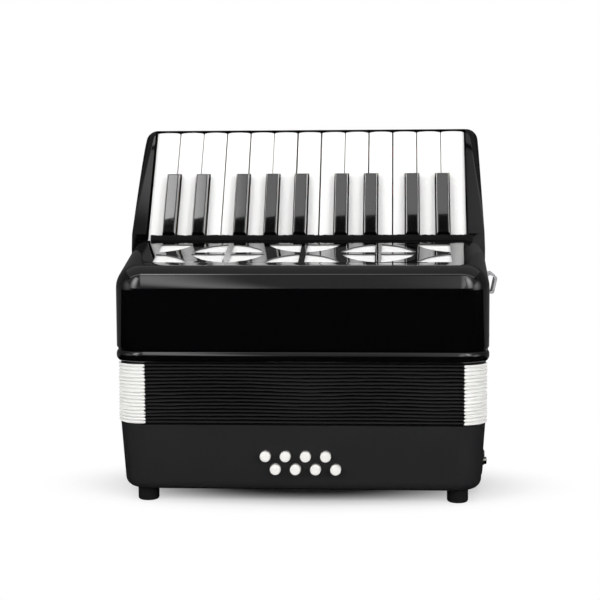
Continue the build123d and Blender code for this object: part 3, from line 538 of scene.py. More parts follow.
plywood = finish("plywood", (0.45, 0.31, 0.18), 0.6)
vary_colour(plywood, add_noise(plywood, 60, 4.0, (0.12, 1, 1)), (0.30, 0.19, 0.1), (0.5, 0.36, 0.22))

steel = finish("steel", (0.55, 0.55, 0.56), 0.28, Metallic=1.0)
vary_roughness(steel, add_noise(steel, 300, 3.0), 0.2, 0.36)

nickel = finish("nickel", (0.66, 0.64, 0.60), 0.18, Metallic=1.0)
vary_roughness(nickel, add_noise(nickel, 300, 3.0), 0.12, 0.26)

zinc = finish("zinc", (0.66, 0.67, 0.68), 0.45, Metallic=0.35)
vary_roughness(zinc, add_noise(zinc, 200, 3.0), 0.38, 0.55)

# %% [markdown]
# ## Solids that stay as they are
# Boxes, boards, screws and fittings already have their final shape as solids. They only
# need a finish.

# %% Finishes on the solids that stay
worn_by = {
    gloss_black: ["treble_frame"],
    satin_black: ["bass_box", "bass_end_cover", "back_panel", "bass_bellows_frame"],
    rubber: ["rubber_feet"],
    nickel: ["bass_screws", "strap_screws", "treble_screws"],
    steel: ["key_axle", "key_springs", "bass_reed_plates", "treble_reed_plates"],
    plywood: ["bass_soundboard", "bass_wind_chest", "air_duct", "treble_bellows_frame",
              "treble_soundboard"],
    red_felt: ["key_felts"],
    zinc: ["strap_brackets"],
    button_white: ["air_button"],
}
for material, names in worn_by.items():
    for name in names:
        nodes[name].data.materials.clear()
        nodes[name].data.materials.append(material)
print("solids that stay:", sum(len(names) for names in worn_by.values()))

# %% [markdown]
# ## Sizes that the pieces share
# They are the maker's sizes: the rim bead, the leaning key plane, the grille's slope. The
# key plane has its own frame, with x along the keyboard, y along a key and z above its top.

# %% Shared sizes
LEAN, SLOPE = math.radians(34.0), math.radians(13.5)
SIN, COS = math.sin(LEAN), math.cos(LEAN)
ROOT = (8.815, 209.6)
KEYS = Matrix(((1, 0, 0, 0), (0, SIN, -COS, ROOT[0]), (0, COS, SIN, ROOT[1]), (0, 0, 0, 1)))
rim_middle = -7.0
cover_front, cover_back, deck, top_front = -81.0, 5.7, 124.0, 187.3
key_length, black_length, key_pitch = 107.5, 61.6, 20.75
white_count = 13
span_half = white_count * key_pitch / 2
well_half = span_half + 0.8


def key_point(along, above):
    """Depth and height of a point along a key and above its top."""
    return ROOT[0] + along * SIN - above * COS, ROOT[1] + along * COS + above * SIN


def top_z(y):
    """Height of the grille's sloping top at a depth."""
    return top_front + (y - cover_front) * math.tan(SLOPE)


print("key pitch", key_pitch, "keyboard", round(2 * span_half, 1), "mm wide")

# %% [markdown]
# ## Keys
# A key is a wooden lever with a plastic top glued on. Its tip is a shallow arc, its long
# edges are eased, and the gaps between neighbours were never quite even on a factory
# keyboard. Under the grille the lever carries a metal arm with a leather-faced pallet
# that shuts the key's hole in the soundboard.

# %% Key layout
black_after = {"G": -0.8, "A": 4.2, "C": -2.2, "D": 2.2, "F": -4.8}
white_notes = ["GABCDEF"[i % 7] for i in range(white_count)]
gap_xs = [span_half - i * key_pitch for i in range(white_count + 1)]
gap_widths = [0.8, 0.55, 0.8, 1.1, 1.0, 0.55, 1.15, 1.15, 0.45, 0.9, 0.8, 0.55, 0.7, 0.8]
black_xs = {i + 1: gap_xs[i + 1] - black_after[white_notes[i]]
            for i in range(white_count - 1) if white_notes[i] in black_after}
soundboard = 164.0
front_row, back_row = -55.857, -26.379
black_half = 5.35
lever_start, axle_notch_end = -30.0, -14.0
lever_under, lever_top, plastic_under = -9.0, -1.52, -1.5
print("white", "".join(white_notes), "and a black key after", list(black_xs))

# %% [markdown]
# The levers are all alike but for their place: a board that is notched for the axle, and
# a strip of metal that bends down to its pallet. The arm is drawn from the side, the
# key from above.


# %% Lever and outline helpers
def arm_and_pallet(bm, arm_x, pallet_x, row):
    """Bent metal arm and the pallet that it holds on its hole."""
    start = key_point(lever_start, -7.5)
    path = [start, (start[0] - 6.0, start[1] - 2.0), (row, soundboard + 8.0)]
    outline = [key_point(lever_start, -6.0)] + [(y, z + 1) for y, z in path[1:]]
    outline += [(row - 3.0, soundboard + 9.0), (row - 3.0, soundboard + 4.05), (row, soundboard + 4.05)]
    outline += [(y, z - 1) for y, z in reversed(path[1:])] + [key_point(lever_start, -7.2)]
    block(bm, outline, arm_x - 1.5, arm_x + 1.5, SIDEWAYS, 1)
    half_x, half_y = 7.5, 12.99
    pallet = block(bm, [(-half_x, -half_y), (half_x, -half_y), (half_x, half_y), (-half_x, half_y)],
                   soundboard + 0.2, soundboard + 4.0, Matrix.Translation((pallet_x, row, 0)), 2)
    bevel(bm, [e for e in bm.edges if all(v in pallet for v in e.verts)], 0.4, 2)


def tip_arc(low, high, end, bulge, steps=12):
    """Points of a key's shallow round tip, from its high side to its low side."""
    middle, half = (low + high) / 2, (high - low) / 2
    return [(middle + half * math.cos(math.pi * k / steps),
             end + bulge * math.sin(math.pi * k / steps) ** 0.8) for k in range(steps + 1)]


def key_sides(i):
    """Both sides of a white key's tip, then both sides of its narrow part."""
    tip_low, tip_high = gap_xs[i + 1] + gap_widths[i + 1] / 2, gap_xs[i] - gap_widths[i] / 2
    room = black_half + 0.9
    low = black_xs[i + 1] + room if i + 1 in black_xs else tip_low
    high = black_xs[i] - room if i in black_xs else tip_high
    return tip_low, tip_high, low, high


def white_outline(i, shoulder, start, tip, notch=0.0, bulge=1.7):
    """White key from above: wide at its tip, narrow between the black keys."""
    tip_low, tip_high, low, high = key_sides(i)
    points = [(low, start), (high - notch, start)]
    if notch:
        points += [(high - notch, axle_notch_end), (high, axle_notch_end)]
    points += [(high, shoulder), (tip_high, shoulder)] if i in black_xs else []
    points += tip_arc(tip_low, tip_high, tip - bulge, bulge)
    points += [(tip_low, shoulder), (low, shoulder)] if i + 1 in black_xs else []
    return points


# %% [markdown]
# A white top is sawn from sheet, 1.5 mm thick, and its upper edge is eased with a file.
# The lever under it stops just short of the tip.

# %% White keys
for i in range(white_count):
    name = f"white_key_{i + 1:02d}"
    bm = bmesh.new()
    block(bm, white_outline(i, black_length + 2.2, -24.0, key_length), plastic_under, 0)
    bevel(bm, edges_where(bm, lambda p: p.z > -0.01), 0.45, 3)
    bmesh.ops.transform(bm, matrix=KEYS, verts=bm.verts)
    put(f"{name}_top", bm, white_plastic, name, [name], weighted=True)

    axle_notch = 4.6
    *_, low, high = key_sides(i)
    bm = bmesh.new()
    block(bm, white_outline(i, black_length + 4.2, lever_start, key_length - 0.4, axle_notch),
          lever_under, lever_top)
    bmesh.ops.transform(bm, matrix=KEYS, verts=bm.verts)
    arm_and_pallet(bm, (low + high - axle_notch) / 2, (gap_xs[i] + gap_xs[i + 1]) / 2, front_row)
    put(f"{name}_lever", bm, [wood, steel, pallet_leather], name, [name])
print("white keys:", white_count, "from x", round(gap_xs[-1], 1), "to", round(gap_xs[0], 1))

# %% [markdown]
# A black cap is moulded in one, narrower at its top than at its foot, with a sloping
# front. Only the edges that a finger meets are rounded.

# %% Black keys
for number, x in enumerate(black_xs.values(), start=1):
    name = f"black_key_{number}"
    bm = bmesh.new()
    rows = [[(x - half, 0, z), (x + half, 0, z), (x + half, tip, z), (x - half, tip, z)]
            for half, tip, z in ((black_half, black_length, 0), (black_half, black_length - 1.65, 4.4),
                                 (4.55, black_length - 3.0, 8.0))]
    closed_skin(bm, rows)
    front = black_length - 3.1
    bevel(bm, edges_where(bm, lambda p: p.y > front and p.x > x) +
          edges_where(bm, lambda p: p.y > front and p.x < x) +
          [e for e in edges_where(bm, lambda p: p.z > 7.9) if max(v.co.y for v in e.verts) > 1],
          0.7, 4)
    bmesh.ops.transform(bm, matrix=KEYS, verts=bm.verts)
    put(f"{name}_cap", bm, black_plastic, name, [name], weighted=True)

    bm = bmesh.new()
    half, axle_notch = 4.75, 4.0
    end = black_length - 1.0
    block(bm, [(x - half, lever_start), (x + half - axle_notch, lever_start),
               (x + half - axle_notch, axle_notch_end), (x + half, axle_notch_end),
               (x + half, end), (x - half, end)], lever_under, plastic_under)
    block(bm, [(x - half, 0.2), (x + half, 0.2), (x + half, end), (x - half, end)], -1.49, -0.02)
    bmesh.ops.transform(bm, matrix=KEYS, verts=bm.verts)
    arm_and_pallet(bm, x - 2.3, x, back_row)
    put(f"{name}_lever", bm, [wood, steel, pallet_leather], name, [name])
print("black keys:", len(black_xs), "at", [round(x, 1) for x in black_xs.values()])

# %% [markdown]
# ## Keyboard casing
# The cheeks, the lip over the key tips and the key bed are one wooden casing under black
# celluloid. It is cut from a leaning block whose cheeks draw in a little towards the
# lip: the corners and the long edges are rounded
# first, then the well for the keys and the hollow behind the bed are carved out, and at
# last the well's rim is eased.

# %% Casing block
high_half, deep_half = 148.3, 149.8
lip_end, lip_top, casing_under, foot_back, taper_start = 110.4, 4, -20.3, 65.0, 199.6
back_bend = key_point(100.5, casing_under)
share = (taper_start - deck) / (back_bend[1] - deck)
back_start = foot_back + share * (back_bend[0] - foot_back)
bm = bmesh.new()
block(bm, [(cover_back, deck), (cover_back, taper_start), (cover_back, 212.14),
           key_point(lip_end, lip_top), key_point(lip_end, casing_under), back_bend,
           (back_start, taper_start), (foot_back, deck)], -high_half, deep_half, SIDEWAYS)
at_start = [v for v in bm.verts if abs(v.co.z - taper_start) < 0.01]
for side in (-1, 1):
    bmesh.ops.connect_verts(bm, verts=[v for v in at_start if v.co.x * side > 0])
along = [e for e in bm.edges if all(v in at_start for v in e.verts) and
         e.verts[0].co.x * e.verts[1].co.x < 0]
bmesh.ops.dissolve_edges(bm, edges=along, use_verts=False)
for v in bm.verts:
    v.co.x -= math.copysign(max(0.0, v.co.z - taper_start) * 4.0 / 104.7, v.co.x)
bm = in_order(bm)
print("casing block:", len(bm.faces), "faces,", high_half + deep_half, "mm wide")

# %% [markdown]
# The two upper corners get the widest round, then the long edges of the lip and cheeks,
# then the back. Each bevel eats into the edges that the next one picks, so the order
# matters. The mesh is sorted after each step, so that every run gives the same casing.

# %% Rounded corners and edges
to_keys = KEYS.inverted()


def key_place(p):
    """A point's x, place along the keys and height above them."""
    return to_keys @ p


bevel(bm, [e for e in edges_where(bm, lambda p: abs(p.x) > 140 and key_place(p).y > 110.3)
           if e.verts[0].co.x * e.verts[1].co.x > 0], 11.0, 10)
bm = in_order(bm)
bevel(bm, [e for e in edges_where(bm, lambda p: key_place(p).z > 3.99)
           if min(v.co.y for v in e.verts) > cover_back + 0.01 or
           abs(e.verts[0].co.x - e.verts[1].co.x) < 1], 8.5, 10)
bm = in_order(bm)
bevel(bm, [e for e in edges_where(bm, lambda p: key_place(p).z < -20.2 or
                                  (p.y - foot_back) * (back_bend[1] - deck) >
                                  (p.z - deck) * (back_bend[0] - foot_back) - 1.0)
           if sharp(e) and max(v.co.z for v in e.verts) > deck + 1], 4.0, 5)
bm = in_order(bm)
print("rounded casing:", len(bm.faces), "faces")

# %% [markdown]
# The well for the keys and the hollows before and behind the bed are cut straight through
# between the cheeks, and the rim that fingers slide over is rounded most.

# %% Well and hollow
def well_cutter():
    """The room that the keys lie in."""
    cutter = bmesh.new()
    block(cutter, [(-well_half, -300), (well_half, -300), (well_half, key_length + 0.8),
                   (-well_half, key_length + 0.8)], -15.6, 80, KEYS)
    return cutter


def side_cutter(outline):
    """A hollow between the cheeks, drawn from the side."""
    cutter = bmesh.new()
    block(cutter, outline, -well_half, well_half, SIDEWAYS)
    return cutter


bm = carve(bm, well_cutter(),
           side_cutter([key_point(-215, casing_under), back_bend, key_point(100.5, -215), (283, 0)]),
           side_cutter([(-209.3, 0), (-209.3, 209.6), key_point(-34, 0), key_point(-34, -215)]))
bm = in_order(bm)
bevel(bm, [e for e in edges_where(bm, lambda p: abs(abs(p.x) - well_half) < 0.01 and
                                  key_place(p).z > 3.0 and key_place(p).y < 108)], 6.0, 9)
bm = in_order(bm)
frame_piece = put("keyboard_casing", bm, end_black, "treble_section", ["keyboard_frame"],
                  weighted=True)
print("keyboard casing faces", len(frame_piece.data.polygons))

# %% [markdown]
# ## Grille cover
# One moulded hood of celluloid over wood. A ball of 20 mm rolled round the edge between
# the walls and the sloping top gives its soft shoulder, so the shoulder is built that
# way: at each place on the outline an arc swings from the wall's direction to the top's.
# Sixteen wing-shaped sound slots are then cut through the thin top.

# %% Hood skin
TOP = Matrix(((1, 0, 0, 0), (0, math.cos(SLOPE), -math.sin(SLOPE), cover_front),
              (0, math.sin(SLOPE), math.cos(SLOPE), top_front), (0, 0, 0, 1)))
up = Vector((0, -math.sin(SLOPE), math.cos(SLOPE)))
ball, corner, half = 20.0, 24.0, 149.8
outline = []
for side in (1, -1):
    axis = Vector((side * (half - corner), cover_front + corner, 0))
    arc = [Vector((side * math.cos(a), -math.sin(a), 0)) for a in
           [math.radians(90 * k / 14) for k in range(15)]]
    run = [(Vector((side * half, y, 0)), arc[0]) for y in (14.0, 0.0, -14.0, -28.0, -42.0)]
    run += [(axis + corner * out, out) for out in arc]
    outline += run if side > 0 else run[::-1]
rows = []
for inset, z in ((0.8, deck), (0.8, deck + 1.2), (0.1, deck + 1.25), (0.0, deck + 1.7)):
    rows.append([p - inset * out + Vector((0, 0, z)) for p, out in outline])
for k in range(17):
    row = []
    for p, out in outline:
        middle = p - ball * out
        middle.z = top_z(middle.y) - ball / math.cos(SLOPE)
        row.append(middle + ball * out.slerp(up, k / 16))
    rows.append(row)
bm = bmesh.new()
grid = skin(bm, rows, round_rows=False)
bm.faces.new(grid[-1])
cut_through(bm, (0, cover_back, 0), (0, 1, 0))
bmesh.ops.recalc_face_normals(bm, faces=bm.faces)
bmesh.ops.solidify(bm, geom=bm.faces[:], thickness=0.9)
print("hood skin:", len(bm.faces), "faces, shoulder", ball, "mm")

# %% [markdown]
# The slots stand in groups of four, mirrored about a cross. Each is tall at one end and
# drawn out to a point at the other, and its curved side was sawn by hand, so it wavers a
# little.

# %% Slot cutters
group_step = 61.2


def wing(towards_line, group, flip_x, flip_y):
    """Cutter for one slot: tall at one end and drawn out to a point at the other."""
    gap, length, depth, line = 2.5, 27.9, 22.2, 47.5
    tall, reach, bend_x = gap + depth, gap + length, gap + 0.6 * length
    if towards_line:
        start, tip, square = (gap, tall), (reach, gap), (gap, gap)
        bend = (bend_x, gap + 0.66 * depth)
    else:
        start, tip, square = (gap, gap), (reach, tall), (gap, tall)
        bend = (bend_x, gap + 0.34 * depth)
    pull = [2 * b - (s + t) / 2 for b, s, t in zip(bend, start, tip)]
    curve = []
    for k in range(21):
        t = k / 20
        waver = 0.5 * math.sin(math.pi * t) * grain(group * group_step + flip_x * 30 * t,
                                                    flip_y * 20, 7, 3.1)
        curve.append([(1 - t) ** 2 * s + 2 * t * (1 - t) * c + t * t * e + waver
                      for s, c, e in zip(start, pull, tip)])
    points = [(group * group_step + flip_x * x, line + flip_y * y) for x, y in curve + [square]]
    cutter = bmesh.new()
    block(cutter, points, -4, 4, TOP)
    return cutter


cutters = []
for group in range(-2, 3):
    for flip_x in (-1, 1):
        if abs(group) == 2 and flip_x * group > 0:
            continue
        cutters += [wing(group % 2 == 1, group, flip_x, flip_y) for flip_y in (-1, 1)]
print("slot cutters:", len(cutters))

# %% [markdown]
# The slots and the notch for the felt are cut in one go. The slots' rims catch the light,
# so their sharp edges are eased by 0.3 mm.

# %% Cut hood
notch = bmesh.new()
block(notch, [(-141.0, 84.7), (141.0, 84.7), (141.0, 120), (-141.0, 120)], -5.2, 60, TOP)
bm = carve(bm, *cutters, notch)
to_top = TOP.inverted()
rims = [e for e in edges_where(bm, lambda p: abs((to_top @ p).z) < 0.01 and abs(p.x) < 125
                               and 20 < (to_top @ p).y < 76) if sharp(e)]
bevel(bm, rims, 0.3, 3)
put("grille_hood", bm, gloss_black, "treble_section", ["grille_cover"],
    weighted=True)
print("grille hood:", len(rims), "rim edges eased")

# %% [markdown]
# ## Grille cloth
# A white cloth is glued under the top to keep dust out of the reeds. It was laid in by
# hand, so it swells a little into the slots and puckers towards their edges.

# %% Grille cloth
bm = bmesh.new()
rows = []
for j in range(41):
    v = 19.0 + 60.0 * j / 40
    row = []
    for i in range(161):
        x = -122.5 + 245.0 * i / 160
        swell = 0.16 * grain(x, v, 3.0, 9.0) + 0.2 * grain(0.5 * x, v, 8.0, 3.0)
        row.append(TOP @ Vector((x, v, -1.28 + swell)))
    rows.append(row)
skin(bm, rows, round_rows=False)
bmesh.ops.recalc_face_normals(bm, faces=bm.faces)
bmesh.ops.solidify(bm, geom=bm.faces[:], thickness=0.35)
cloth = put("grille_cloth_sheet", bm, grille_white, "treble_section", ["grille_cloth"], crease=60)
print("grille cloth:", len(cloth.data.polygons), "faces")

# %% [markdown]
# ## Felt strip
# A strip of black felt stands between the hood and the keys and hides the slits they
# move in. It was cut by hand: its edges wander, and loose fibres stand off them.

# %% Felt strip
felt_start, felt_top, fibre_count = -131.5, 211.1, 1500


def felt_edge(x):
    """How far the strip's upper edge is out of line."""
    return 0.35 * grain(x, 0, 1, 7.0) + 0.4 * grain(x, 0, 5, 1.9)


bm = bmesh.new()
rows = []
meet = [(7.79, 208.55), (6.02, 205.99)]
for i in range(421):
    x = felt_start + 270.9 * i / 420
    tall = felt_edge(x)
    bulge = 0.25 * grain(x, 9, 1, 3.0)
    past_keys = abs(x) > span_half
    section = [(2.5, 205.15), (2.35 + bulge, 207.6), (2.4 + bulge, 209.9 + tall),
               (2.9, 210.9 + tall), (4.0, 211.35 + tall), (5.0, 211.2 + 0.6 * tall)]
    section += [(5.4, 208.6), (5.4, 206.0)] if past_keys else meet
    rows.append([(x, y, z) for y, z in section])
closed_skin(bm, rows)
for i in range(fibre_count):
    x = felt_start + 0.2 + 270.4 * (i + 0.5 + 0.4 * noise.cell(Vector((i, 2.5, 0)))) / fibre_count
    lean_x, lean_y, reach = [noise.cell(Vector((i * 1.7, k * 3.3, 4))) - 0.5 for k in range(3)]
    root = Vector((x, 2.7 + 2.0 * (reach + 0.5), felt_top + felt_edge(x)))
    tip = root + Vector((lean_x * 1.0, lean_y * 0.9 - 0.2, 0.55 + 0.5 * reach))
    ring = [bm.verts.new(root + Vector((0.09 * math.cos(a), 0.09 * math.sin(a), -0.3)))
            for a in (0, 2.1, 4.2)]
    point = bm.verts.new(tip)
    bm.faces.new(ring)
    for a, b in zip(ring, ring[1:] + ring[:1]):
        bm.faces.new((a, b, point))
put("felt_guard", bm, black_felt, "treble_section", ["felt_strip"], crease=70)
print("felt strip:", fibre_count, "loose fibres")

# %% [markdown]
# ## Bellows
# Seventeen folds of card and cloth, closed. Each fold is a soft ridge outside and a deep
# valley inside. Hand-glued folds never lie quite level, so they wander together over a
# hand's width and each a little by itself.

# %% Bellows
fold_count, bellows_low, bellows_high = 17, 64.8, 113.3
pitch = (bellows_high - bellows_low) / fold_count


def wander(p, fold):
    """How far a ridge is out of place at a point: outwards and upwards, in mm."""
    calm = min(1.0, (min(fold, fold_count - 1 - fold) + 0.35) / 3)
    together = grain(p.x, p.y, 3 * fold, 60.0)
    alone = grain(p.x, p.y, 400 * fold, 16.0)
    return 0.35 * alone + 0.3 * together, calm * (1.15 * together + 0.65 * alone)


def fold_rows(ring, section):
    """One row of points for each step of each fold's section."""
    rows = []
    for fold in range(fold_count):
        level = bellows_low + (fold + 0.5) * pitch
        for inset, rise in section:
            row = []
            for p, out in ring:
                away, lift = wander(p, fold)
                deep = max(0.0, 1 - inset / 6.0)
                spot = p + (deep * away - inset) * out
                z = level + rise * pitch + deep * lift
                row.append((spot.x, spot.y, min(max(z, bellows_low), bellows_high)))
            rows.append(row)
    return rows


ring = rounded_ring(295.0, 145.0, 20.0, rim_middle, 10, 3.0)
section = [(14.0, -0.5), (5.0, -0.4), (2.2, -0.27), (0.6, -0.14), (0.0, 0.0), (0.6, 0.14),
           (2.2, 0.27), (5.0, 0.4)]
rows = fold_rows(ring, section)
rows.append([(p.x - 14 * out.x, p.y - 14 * out.y, bellows_high) for p, out in ring])
rows += [[(p.x - 16 * out.x, p.y - 16 * out.y, z) for p, out in ring]
         for z in (bellows_high, bellows_low)]
bm = bmesh.new()
skin(bm, rows, close_stack=True)
folds = put("bellows_folds", bm, black_cloth, None, ["bellows"], crease=75)
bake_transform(folds)
print("bellows:", len(folds.data.polygons), "faces, fold pitch", round(pitch, 2))

# %% [markdown]
# ## White corners
# At each corner a gusset of white cloth is glued over the ridges, because the folds wear
# through there first. Its edge is scalloped: it reaches further on a ridge than in a
# valley.

# %% White corners
bm = bmesh.new()
reach_before, reach_after = (0.5, 0.4, 0.2, -2.6), (0.2, 0.5, 2.6, 0.4)
white_section = [(2.0, -0.5), (0.85, -0.33), (0.2, -0.17), (0.0, 0.0), (0.2, 0.17), (0.85, 0.33)]
corner_radius = 20.0
arc_length = corner_radius * math.pi / 2
for quarter, (sx, sy) in enumerate(QUARTERS):
    axis = Vector((sx * 127.5, rim_middle + sy * 52.5))

    def along_corner(u):
        """Point and outward direction at a distance along the corner from its start."""
        turn = math.pi / 2 * (quarter + min(max(u / arc_length, 0.0), 1.0))
        out = Vector((math.cos(turn), math.sin(turn)))
        ahead = Vector((-out.y, out.x))
        spare = u if u < 0 else max(u - arc_length, 0.0)
        return axis + corner_radius * out + spare * ahead, out

    rows = []
    for fold in range(fold_count):
        for inset, rise in white_section:
            scallop = 1.2 - 0.8 * inset + 0.5 * grain(10 * quarter, fold, rise, 0.7)
            start = -scallop - reach_before[quarter]
            length = arc_length + 2 * scallop + reach_before[quarter] + reach_after[quarter]
            row = []
            for k in range(23):
                u = start + length * k / 22
                p, out = along_corner(u)
                away, lift = wander(p, fold)
                spot = p + (0.75 - inset + 0.5 * away) * out
                z = bellows_low + (fold + 0.5 + rise) * pitch + lift
                row.append((spot.x, spot.y, min(max(z, bellows_low), bellows_high)))
            rows.append(row)
    skin(bm, rows, round_rows=False)
bmesh.ops.recalc_face_normals(bm, faces=bm.faces)
bmesh.ops.solidify(bm, geom=bm.faces[:], thickness=0.3)
gussets = put("bellows_gussets", bm, white_cloth, None, ["bellows_corners"], crease=75)
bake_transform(gussets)
print("white corners:", len(gussets.data.polygons), "faces")

# %% [markdown]
# ## Bass buttons
# Turned from white plastic with a softly domed face, each on a stem that carries the
# pallet of its valve, and a wound spring that brings it back.

# %% Wound spring
def wound_spring(bm, radius, wire, rise, turns, place, material):
    """Round wire wound up Z."""
    upright = Matrix.Rotation(math.radians(90), 4, "X") @ Matrix.Rotation(math.radians(30), 4, "Z")
    ring = bmesh.ops.create_circle(bm, cap_ends=False, segments=6, radius=wire,
                                   matrix=Matrix.Translation((radius, 0, 0)) @ upright)["verts"]
    return spun(bm, ring, math.tau * turns, 16 * turns, rise, place, material, full=False)


# %% [markdown]
# Each button is turned where its solid lies, face to the front. Its stem, pallet and
# spring follow it into the box.

# %% Bass buttons
for number in range(1, 9):
    name = f"bass_button_{number}"
    low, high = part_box(name)
    x, z = [(low[k] + high[k]) / 2 / MM for k in (0, 2)]
    face = low[1] / MM
    place = Matrix.Translation((x, face, z)) @ Matrix.Rotation(math.radians(-90), 4, "X")
    bm = bmesh.new()
    lathe(bm, [(0.02, 0.0), (1.6, 0.03), (2.7, 0.14), (3.4, 0.36), (3.85, 0.68), (4.13, 1.1),
               (4.26, 1.6), (4.3, 2.2), (4.3, 9.9), (4.2, 10.0), (1.5, 10.0), (1.5, 20.4),
               (0.02, 20.4)], place, 44)
    lathe(bm, [(0.02, 20.5), (4.2, 20.5), (4.3, 20.6), (4.3, 22.4), (4.2, 22.5), (0.02, 22.5)],
          place, 32, 1)
    wound_spring(bm, 2.6, 0.3, 6.4, 4, place @ Matrix.Translation((0, 0, 22.81)), 2)
    put(f"{name}_turned", bm, [button_white, pallet_leather, steel], name, [name],
        crease=50)
print("buttons stand out to", round(face, 2))

# %% [markdown]
# ## Hand strap
# A strap of black leather runs round the end of the bass box, where the left hand slips
# under it. Its edges are rounded and a row of waxed thread holds its lining on each side.

# %% Hand strap
off, strap_low, strap_high, strap_middle = 1.65, 9.35, 35.0, rim_middle
wall_x = 143.5 + 3.5 * (strap_high - 11.0) / 53.5 + off
turn_x = 143.5 + off
turn_radius = 9.65
path = [(wall_x, strap_high), (wall_x - 0.35, 31.0), (wall_x - 0.7, 26.0),
        (turn_x + 0.3, strap_low + turn_radius)]
path += [(turn_x - turn_radius + turn_radius * math.cos(a) + 0.25 * math.cos(a),
          strap_low + turn_radius - turn_radius * math.sin(a))
         for a in [math.radians(90 * k / 8) for k in range(1, 9)]]
path += [(x, strap_low) for x in (110, 80, 50, 20)]
path = [Vector((x, 0, z)) for x, z in path]
path += [Vector((-p.x, 0, p.z)) for p in reversed(path)]
section = []
for corner_turn, (sx, sy) in enumerate(QUARTERS):
    for k in range(5):
        a = math.pi / 2 * (corner_turn + k / 4)
        section.append((sx * (23.0 - 1.0) + 1.0 * math.cos(a), sy * 0.25 + 1.0 * math.sin(a)))
bm = bmesh.new()
rows = []
for i, p in enumerate(path):
    ahead = (path[min(i + 1, len(path) - 1)] - path[max(i - 1, 0)]).normalized()
    out = Vector((-ahead.z, 0, ahead.x))
    end = 0.9 if i in (0, len(path) - 1) else 1.0
    rows.append([p + Vector((0, strap_middle + end * a, 0)) + out * b for a, b in section])
closed_skin(bm, rows)
print("strap outline:", len(path), "rows of", len(section), "points")

# %% [markdown]
# The stitches are single small grains of thread, set out evenly along both edges.

# %% Stitches
lengths = [0.0]
for a, b in zip(path, path[1:]):
    lengths.append(lengths[-1] + (b - a).length)
stitches = int(lengths[-1] / 4.2)
for k in range(1, stitches):
    reach = lengths[-1] * k / stitches
    i = max(n for n in range(len(path) - 1) if lengths[n] <= reach)
    ahead = (path[i + 1] - path[i]).normalized()
    spot = path[i] + ahead * (reach - lengths[i])
    out = Vector((-ahead.z, 0, ahead.x))
    for side in (-1, 1):
        centre = spot + Vector((0, strap_middle + side * 20.2, 0)) - out * 1.22
        place = Matrix.Translation(centre) @ Matrix((
            (ahead.x, 0, out.x, 0), (0, 1, 0, 0), (ahead.z, 0, out.z, 0), (0, 0, 0, 1)))
        thread = bmesh.ops.create_icosphere(bm, subdivisions=1, radius=1.0,
                                            matrix=place @ Matrix.Diagonal((1.45, 0.4, 0.28, 1)))
        for face in {f for v in thread["verts"] for f in v.link_faces}:
            face.material_index = 1
put("hand_strap_leather", bm, [leather, thread_grey], "bass_section", ["hand_strap"], crease=60)
print("strap", round(lengths[-1]), "mm long,", 2 * (stitches - 1), "stitches")

# %% [markdown]
# ## Floor and cards
# The floor is a white sheet. Near the object it takes the soft shadow, and further out it
# shows as plain white. The cards are seen by mirror rays alone: they cast no shadow, give
# no light to matt surfaces and stay out of sight.

# %% Floor
bm = bmesh.new()
bmesh.ops.create_grid(bm, x_segments=1, y_segments=1, size=6000)
floor_white = finish("floor_white", (0.92, 0.92, 0.92), 0.9)
tree = floor_white.node_tree
place = tree.nodes.new("ShaderNodeTexCoord")
reach = tree.nodes.new("ShaderNodeVectorMath")
reach.operation = "LENGTH"
narrow = tree.nodes.new("ShaderNodeMapping")
narrow.inputs["Scale"].default_value = (0.5, 1, 1)
tree.links.new(place.outputs["Object"], narrow.inputs["Vector"])
tree.links.new(narrow.outputs[0], reach.inputs[0])
away = ramp_value(tree, reach.outputs["Value"], 0.03, 0.12, 0.0, 1.0)
white = tree.nodes.new("ShaderNodeEmission")
mix = tree.nodes.new("ShaderNodeMixShader")
tree.links.new(multiplied(tree, away, any_ray(tree, *SEEN)), mix.inputs[0])
tree.links.new(tree.nodes["Principled BSDF"].outputs[0], mix.inputs[1])
tree.links.new(white.outputs[0], mix.inputs[2])
tree.links.new(mix.outputs[0], tree.nodes["Material Output"].inputs["Surface"])
floor = put("floor", bm, floor_white)
floor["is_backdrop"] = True
print("floor:", round(floor.dimensions.x, 1), "m wide")

# %% [markdown]
# ## Cards
# A card is a flat sheet with a base brightness and a few soft glows. Most are set out by
# the angle at which the leaning keys see them, because the keys and cheeks are the
# largest mirrors on the instrument.


# %% Card helpers
staged = []


